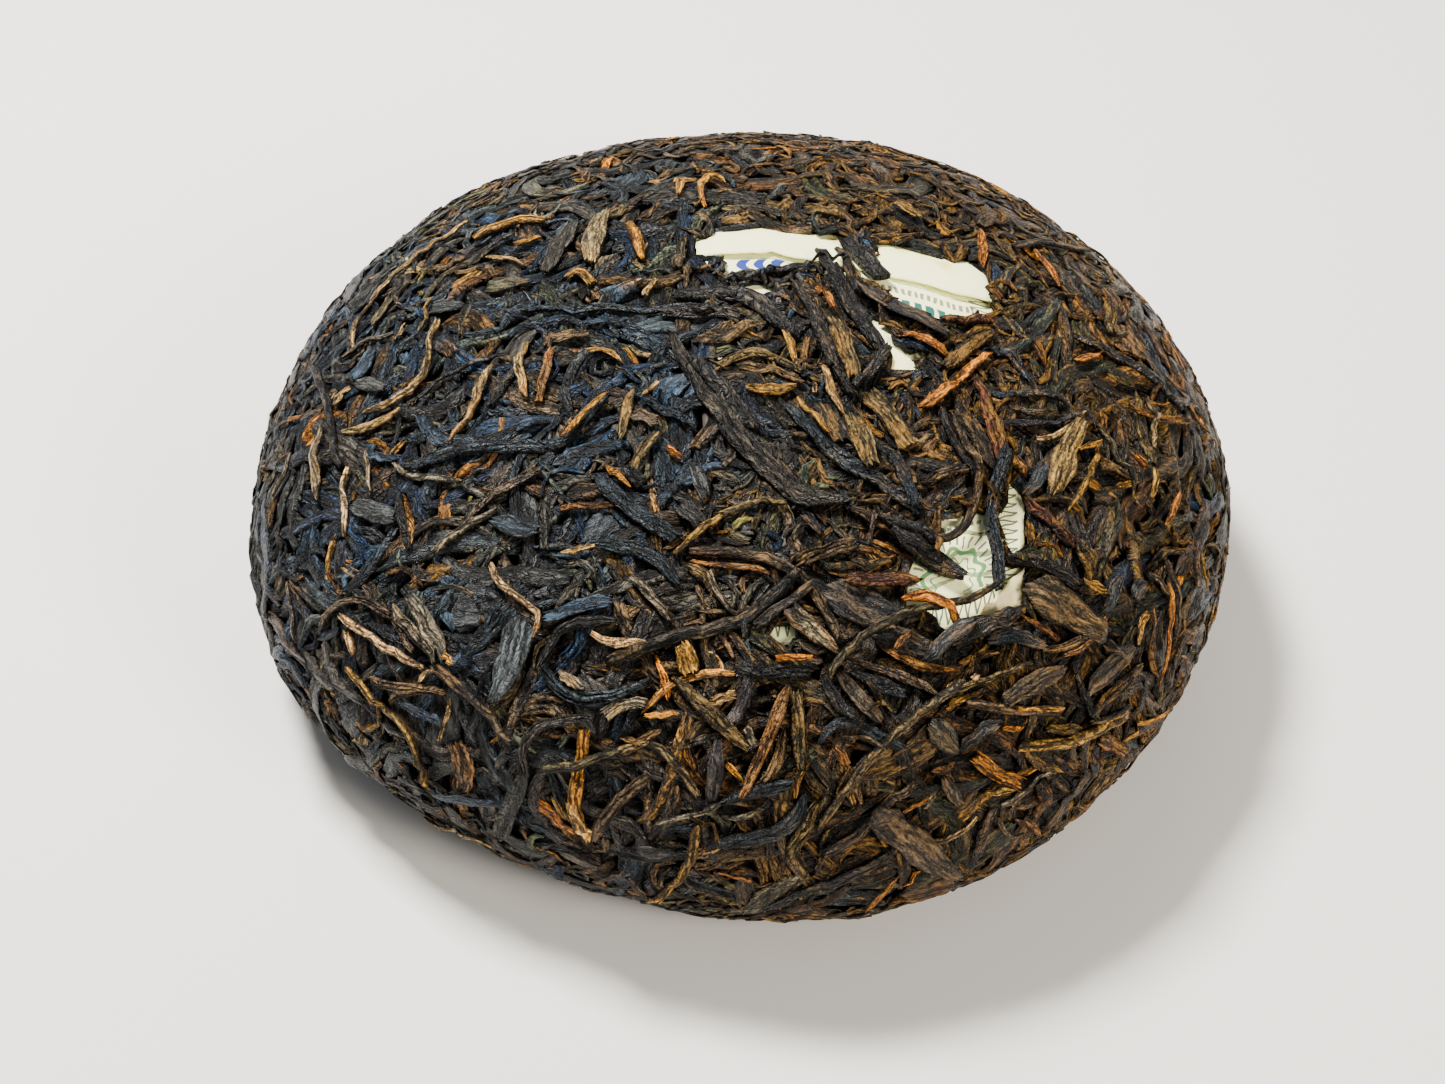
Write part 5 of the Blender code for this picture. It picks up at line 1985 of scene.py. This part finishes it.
# Leaves traced from the picture, lowest first: sort, colour, width in pixels, lift in 0.1 mm, way
HERO_ROWS: str = """
broad grey_tan 24 4 413,598 429,631 444,659
tip gold 9 6 446,654 454,662
tip pale 6 4 421,682 426,672 436,671
dark blue_black 17 4 467,654 495,626 515,611
dark blue_black 17 4 541,667 556,693 589,703 620,693 648,680
tip grey_tan 13 5 559,672 584,688
broad ink_blue 18 4 546,616 582,606 610,603
dark dark 13 4 541,665 554,624 582,621 617,621
stem grey_tan 6 4 288,583 291,611 296,639
dark umber 10 4 319,634 334,603 360,597 388,614 413,652
stem ochre 9 4 344,670 365,688 372,708 401,718 416,739 418,759 429,790
brown umber 15 4 372,677 393,693 429,685 444,693
stem tan 6 4 449,698 446,726 441,739
broad ink_blue 12 4 401,703 429,716 444,723
dark grey_brown 12 4 526,777 523,739 536,723 594,718
flake grey_tan 15 4 607,713 622,703 643,703
flake dull_rust 24 4 456,744 466,767 462,790
broad ink_blue 14 4 434,795 467,800 500,805
stem tan 8 4 426,815 444,825 469,830 495,843
dark blue_black 14 4 367,759 372,779 393,800 418,815
brown umber 15 4 592,841 607,810 630,791 648,777
dark dark 9 5 508,355 487,351 460,364 431,380 406,403
tip tan 11 4 525,341 517,368 525,395
flake tan 12 4 345,384 334,395 331,401
broad ink_blue 23 4 372,349 359,366 349,374
broad dark 18 4 355,380 383,385
stem grey_tan 9 5 393,464 412,477 441,477 462,483
tip grey_tan 8 4 362,449 366,475 372,491
broad ink_blue 12 4 366,452 393,458
dark umber 12 4 466,521 483,498 508,483 538,468
stem grey_tan 10 4 433,550 447,540 466,527 496,508
broad blue_black 24 4 491,521 538,531
broad slate 21 4 355,506 395,517
dark dark 10 4 397,491 403,521 408,550
stem dark 10 4 313,366 324,397 332,437 336,464
tip rust 6 4 276,426 303,414
stem grey_tan 6 4 274,498 284,473 294,454
tip olive 12 4 633,386 625,409 619,437
tip tan 9 4 659,382 642,393
dark ink_blue 12 4 638,395 663,405 694,420
broad umber 16 4 631,413 656,418
flake olive 15 4 656,434 637,453 631,470
dark dark 16 4 608,460 625,470 642,479
tip amber 8 6 606,464 617,476 631,485
stem rust 8 5 692,560 728,566 755,564 769,575
brown olive 15 4 686,566 705,571 717,590 719,604
tip tan 8 5 560,550 598,546
dark blue_black 17 4 596,546 637,543 659,558 677,583
stem rust 8 4 560,506 598,506 619,502
flake purple 15 4 805,514 822,533
brown umber 16 4 795,562 828,548 858,541
tip orange 8 6 667,445 682,455
broad dark 20 4 679,502 705,525
broad slate 16 4 694,466 705,493
brown grey_tan 11 4 633,579 654,600 669,619
tip tan 11 6 823,363 833,394 844,412
dark blue_black 11 4 981,389 1017,396 1043,390 1068,402
brown umber 9 4 1009,409 1030,413 1058,412
brown rust 15 4 1004,445 1025,476
brown umber 11 4 737,366 767,368 803,384
flake ochre 12 4 564,273 577,265 594,283
tip tan 7 4 643,293 656,283
dark blue_black 9 4 520,306 577,309 653,306 724,309
dark ink_blue 8 4 520,324 577,319 628,321
brown umber 12 4 551,339 587,329
tip ochre 8 5 588,352 599,347 615,347 619,357
brown rust 12 4 551,349 543,372 536,398
broad brown 14 4 712,148 742,145
brown grey_brown 12 4 676,273 684,237
tip ochre 8 6 1107,438 1086,482 1069,510
tip amber 8 8 1082,447 1103,438
dark grey_brown 12 4 1077,333 1115,352 1163,384 1184,407
brown rust 11 4 1130,403 1153,415 1189,422
stem tan 7 5 1149,396 1161,422 1155,449
tip amber 8 5 1115,487 1142,480
brown umber 12 4 1096,468 1107,463 1122,468 1130,478
stem olive 8 4 1103,421 1115,434 1122,463 1134,484 1142,503
tip orange 9 4 1136,455 1147,468
tip ochre 8 4 1153,468 1159,484 1153,497
stem tan 8 6 1038,438 1061,434 1082,415
dark purple 9 4 1000,422 1038,424 1077,419
broad blue_black 15 4 1029,491 1042,472 1057,445
brown olive 15 4 1111,300 1113,315 1115,331
stem rust 8 4 1145,321 1159,346 1172,367
flake rust 14 4 1048,357 1036,344
tip grey_tan 10 5 746,728 756,748
brown umber 13 4 784,731 782,761 772,779 751,789
broad purple 18 4 718,743 716,771 711,802
tip gold 8 6 688,784 699,796
tip amber 7 4 726,766 744,784
stem grey_tan 7 5 659,820 713,810 723,805
stem grey_tan 7 5 723,820 749,817 762,807
dark blue_black 17 4 723,805 759,789 790,785
dark blue_black 21 4 805,799 800,820 774,834 713,843
brown olive 17 4 787,856 800,833 818,805
dark umber 13 4 915,784 887,807 861,835 823,853
dark grey_brown 14 4 762,902 797,891 841,876 889,853
tip rust 8 4 897,873 884,891 864,907
tip rust 6 4 718,871 744,876 762,884
broad purple 18 4 639,843 670,853
broad brown 16 4 560,853 598,866
stem umber 7 4 596,879 626,868
dark umber 8 4 629,871 649,896
flake rust 12 4 836,748 848,764
broad moss 28 4 930,723 958,751
tip rust 6 4 907,817 935,794
brown rust 10 4 1152,609 1150,647 1160,678
stem umber 9 4 1150,574 1162,573 1170,597
brown rust 9 5 1020,615 1059,639
brown umber 11 5 1041,651 1074,647 1097,630 1103,617
stem rust 6 7 1062,655 1089,644 1103,617
broad blue_black 18 4 988,639 1017,634 1041,647
dark grey_brown 10 5 978,617 1011,617
dark grey_brown 10 4 980,626 1017,630
broad slate 15 4 1103,611 1112,592 1120,576
stem olive 9 5 940,697 978,683 1032,662
tip pale 9 6 944,691 961,682
tip pale 8 6 971,680 978,676
stem umber 12 4 969,703 997,710 1028,710 1059,708
tip amber 5 7 1013,709 1059,707
broad walnut 24 4 1003,699 1032,682 1059,670
dark dark 9 5 1072,662 1082,699 1097,718
brown umber 14 4 1087,712 1127,678 1147,666
broad brown 23 4 1082,691 1108,670 1131,647
stem grey_brown 8 4 1093,724 1131,701
tip amber 8 4 1118,738 1141,724 1166,705
tip orange 9 4 1003,729 1024,728
brown olive 12 4 1047,729 1083,731
flake rust 17 4 1099,739 1122,749
brown ochre 9 4 1080,590 1105,592
stem umber 9 4 1172,559 1177,636
stem umber 8 4 1194,550 1194,588
tip amber 5 4 1200,551 1202,592
tip tan 7 4 1204,624 1214,603
broad slate 19 4 1131,597 1147,584
broad slate 16 4 1105,643 1120,655
dark dark 18 4 739,666 778,675 812,670
broad purple 15 4 750,679 743,702 732,721
flake tan 12 4 711,702 734,695
tip amber 8 4 645,716 677,713
dark dark 15 4 824,675 835,702 854,716
broad grey_brown 17 4 842,675 858,698 879,718
dark slate 15 4 851,672 883,684 906,693
dark umber 12 5 847,659 893,670 925,684 936,693
brown rust 10 6 876,638 893,656 927,670 959,670
broad dark 27 4 876,633 936,652
tip rust 8 6 893,650 911,631
stem grey_tan 8 5 709,574 718,599 734,613
tip tan 7 4 485,253 506,255 527,263
tip amber 9 4 514,242 541,234
dark purple 8 4 487,246 512,234
brown umber 12 4 433,269 466,259
tip tan 6 4 403,320 391,341
stem grey_tan 7 4 338,353 361,336 380,332 393,334
broad olive 20 4 489,284 520,284 527,280
broad grey_brown 22 4 573,219 558,246 543,269
broad slate 20 4 424,303 462,307
broad olive 12 4 372,322 389,295
tip ochre 8 4 984,791 1015,789
stem grey_tan 9 4 1001,805 1022,791 1049,774
dark purple 14 4 992,806 982,831 971,860
stem umber 6 4 994,812 996,829 1026,831
tip rust 9 4 1011,816 1028,818 1036,831
stem tan 8 4 936,843 959,831 975,816
tip rust 8 4 934,774 955,764
tip grey_tan 6 4 923,808 934,793
broad slate 16 4 965,751 982,730 998,722
broad brown 15 4 946,780 955,799 961,805
broad brown 17 4 1045,824 1065,799 1084,774
stem gold 14 5 476,234 497,223 520,216 541,216
broad pale_husk 25 5 604,210 593,232 589,260
stem tan 8 4 466,217 435,238 405,261 374,288 357,314 347,343
stem tan 9 6 437,320 433,345 422,368 408,389 393,403 362,409
tip olive 7 4 432,297 424,314 418,332
stem pale 8 4 344,465 335,492 350,512 346,538
tip grey_tan 13 4 323,424 317,445 308,462 313,498
tip tan 11 5 339,430 359,428 374,416 399,408
stem pale 9 5 491,566 507,594 549,614 531,637
tip tan 12 4 492,362 479,378 475,401 460,420 452,445
dark blue_black 15 4 604,392 562,442 495,447 406,467
tip amber 9 6 562,439 577,426 592,403 607,391
stem pale 10 6 344,615 385,648 426,668
stem brown 12 6 436,668 475,700 513,740
brown grey_tan 14 5 392,608 413,634 440,662
tip pale 14 4 346,632 352,656
tip amber 16 4 584,729 580,764 576,805 584,833
tip straw 15 5 577,796 580,815 590,838
stem olive 11 4 542,768 575,766 612,752 650,744
stem olive 11 5 650,744 672,756 698,794
broad steel 33 6 524,622 508,667 494,700
broad dark 40 4 824,590 858,604 896,620
stem brown 13 6 689,548 740,550 796,569 824,602 838,640
stem grey_brown 15 6 606,660 640,651 668,633 705,630 743,620 771,599 797,573
stem grey_brown 14 4 755,625 782,607 811,586
tip pale 12 9 592,634 615,646 646,641
dark grey_brown 25 8 672,343 707,391 734,429 767,465 805,496 848,497
dark dark 20 4 690,364 722,388 755,425
dark blue_black 19 5 596,474 622,500 650,522 676,538
stem ochre 9 5 674,552 700,530 722,512
stem olive 10 4 722,512 752,500 785,502
dark blue_black 18 5 787,405 817,435 853,465 888,481 920,508
flake grey_brown 24 4 823,403 843,440
flake olive 26 5 853,414 862,440 871,466
flake olive 28 5 868,388 888,412 911,444
tip ochre 11 4 799,398 811,417 828,437
dark blue_black 15 4 894,450 909,480 914,505
brown brown 13 4 922,481 948,471 973,468
stem dark 10 5 942,405 959,450 976,482
brown brown 19 5 956,398 977,432 994,468
brown red_brown 17 5 977,374 998,432 1004,472
stem brown 11 9 853,505 888,526 924,540 959,534 977,511 981,483 971,453 954,415
dark dark 24 8 893,530 925,547 966,572
dark dark 16 5 880,520 905,530 940,542
dark blue_black 15 11 1004,452 996,488 998,524 1003,554 1003,588
brown red_brown 18 9 843,580 880,578 922,576
stem bark 10 10 829,672 847,650 874,627 913,612 950,602 978,597 1000,582
tip tangerine 15 15 904,598 926,588 945,600 956,614 965,630
tip grey_tan 21 6 790,612 811,628 836,652
dark grey_brown 20 7 952,646 983,624 1022,612
broad slate 21 6 924,660 942,641 968,624
dark dark 15 6 1008,556 1036,560 1060,570 1078,586
broad husk 36 5 1053,493 1065,453 1082,422
brown red_brown 17 5 1027,494 1058,528 1092,558
brown peat 19 6 1076,545 1089,562 1094,582
flake burnt_ochre 13 6 1080,584 1102,590
broad leather 46 6 1028,588 1064,606 1104,638
tip orange 9 4 1166,584 1172,620 1168,659 1159,691
flake gold 10 4 1146,613 1136,628 1139,643
tip orange 10 4 1181,494 1168,524
flake gold 22 4 682,644 690,672
tip orange 11 8 788,686 780,708 776,728
brown chestnut 15 5 788,686 772,730 758,765 741,796
brown olive 19 5 676,680 710,712 746,748
brown olive 19 4 797,689 800,730 802,772
stem bronze 11 5 958,682 930,704 905,722 879,747 850,785 819,827
tip orange 8 4 776,658 812,656
tip gold 14 4 690,898 706,902 716,918
stem ochre 11 4 697,825 690,868 648,898
broad dark_leather 36 4 872,814 912,842 954,872
stem old_gold 14 5 1018,748 1074,743 1103,728 1131,708
flake copper 17 4 976,758 992,774 1018,782
tip gold 10 5 945,709 965,698
tip amber 9 4 706,206 698,192 704,178 718,171 725,182
tip amber 13 5 629,222 637,240 645,263
tip gold 10 4 676,184 682,174 679,198
flake olive 18 4 806,210 838,211
flake ochre 16 4 897,202 918,219
tip orange 14 5 903,333 924,337 947,353
tip orange 15 5 921,405 939,394 959,382
brown brown 17 5 945,366 974,338 995,328
tip orange 12 5 959,378 977,360 992,352
dark blue_black 14 4 992,344 1019,354 1031,378
tip orange 10 4 1036,246 1052,262 1061,284
tip orange 14 4 1076,362 1103,350
tip orange 11 4 980,228 985,264
stem brown 10 4 1014,244 1043,237 1090,248
dark dark 24 7 849,232 863,252 883,273
dark grey_brown 21 7 796,287 817,322 836,364 853,390
dark dark 24 8 818,252 841,287 865,322 884,348
stem dark 9 11 836,250 848,262 844,287 853,304
flake olive 24 9 829,315 841,340 854,377
flake orange 10 12 817,295 824,308 830,322
dark grey_brown 13 10 853,389 870,370 889,348
tip ochre 10 7 782,330 793,352 797,366
brown olive 11 4 711,372 722,364 746,353 784,361 819,378
tip ochre 14 4 746,390 770,393 796,387
dark dark 9 5 721,284 748,279 776,272 806,270
dark dark 21 5 672,296 722,291 761,302 796,340
dark grey_brown 18 4 663,314 707,311 740,318
brown brown 17 4 693,338 722,341 754,327
broad dark 25 7 853,286 888,306 924,318 948,331
brown red_brown 11 8 942,315 968,315 993,318
"""


def main() -> None:
    """Build the dressed cake, piece by piece."""
    logging.basicConfig(level=logging.INFO, format="%(message)s")
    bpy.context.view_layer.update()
    shape = CakeShape()
    camera = PhotoCamera()
    camera.make()
    Studio().build()

    core = CakeCore()
    pieces = [core.build(shape)]
    log.info("cake_core: %d faces", len(pieces[0].data.polygons))

    heights = HeightField(shape, -core.depth)
    ticket = PaperTicket()
    ticket.plan(camera, shape)
    ticket.mark(heights, shape)
    sheets = ticket.build(shape)

    leaves = TeaLeaves()
    press = LeafPress(shape, heights, LeafShaper(shape, leaves.seed))
    heroes = [Hero.read(row) for row in HERO_ROWS.strip().splitlines()]
    laid = leaves.lay(press, heroes, camera)
    pieces += leaves.build(laid, LeafLoft())
    for piece in pieces[1:]:
        log.info("%s: %d faces", piece.name, len(piece.data.polygons))

    for piece in pieces:
        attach(piece, "root")
        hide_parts("tea_cake")
    for piece in sheets:
        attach(piece, "root")
        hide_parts("paper_ticket")
        log.info("%s: %d faces", piece.name, len(piece.data.polygons))


if __name__ == "__main__":
    main()
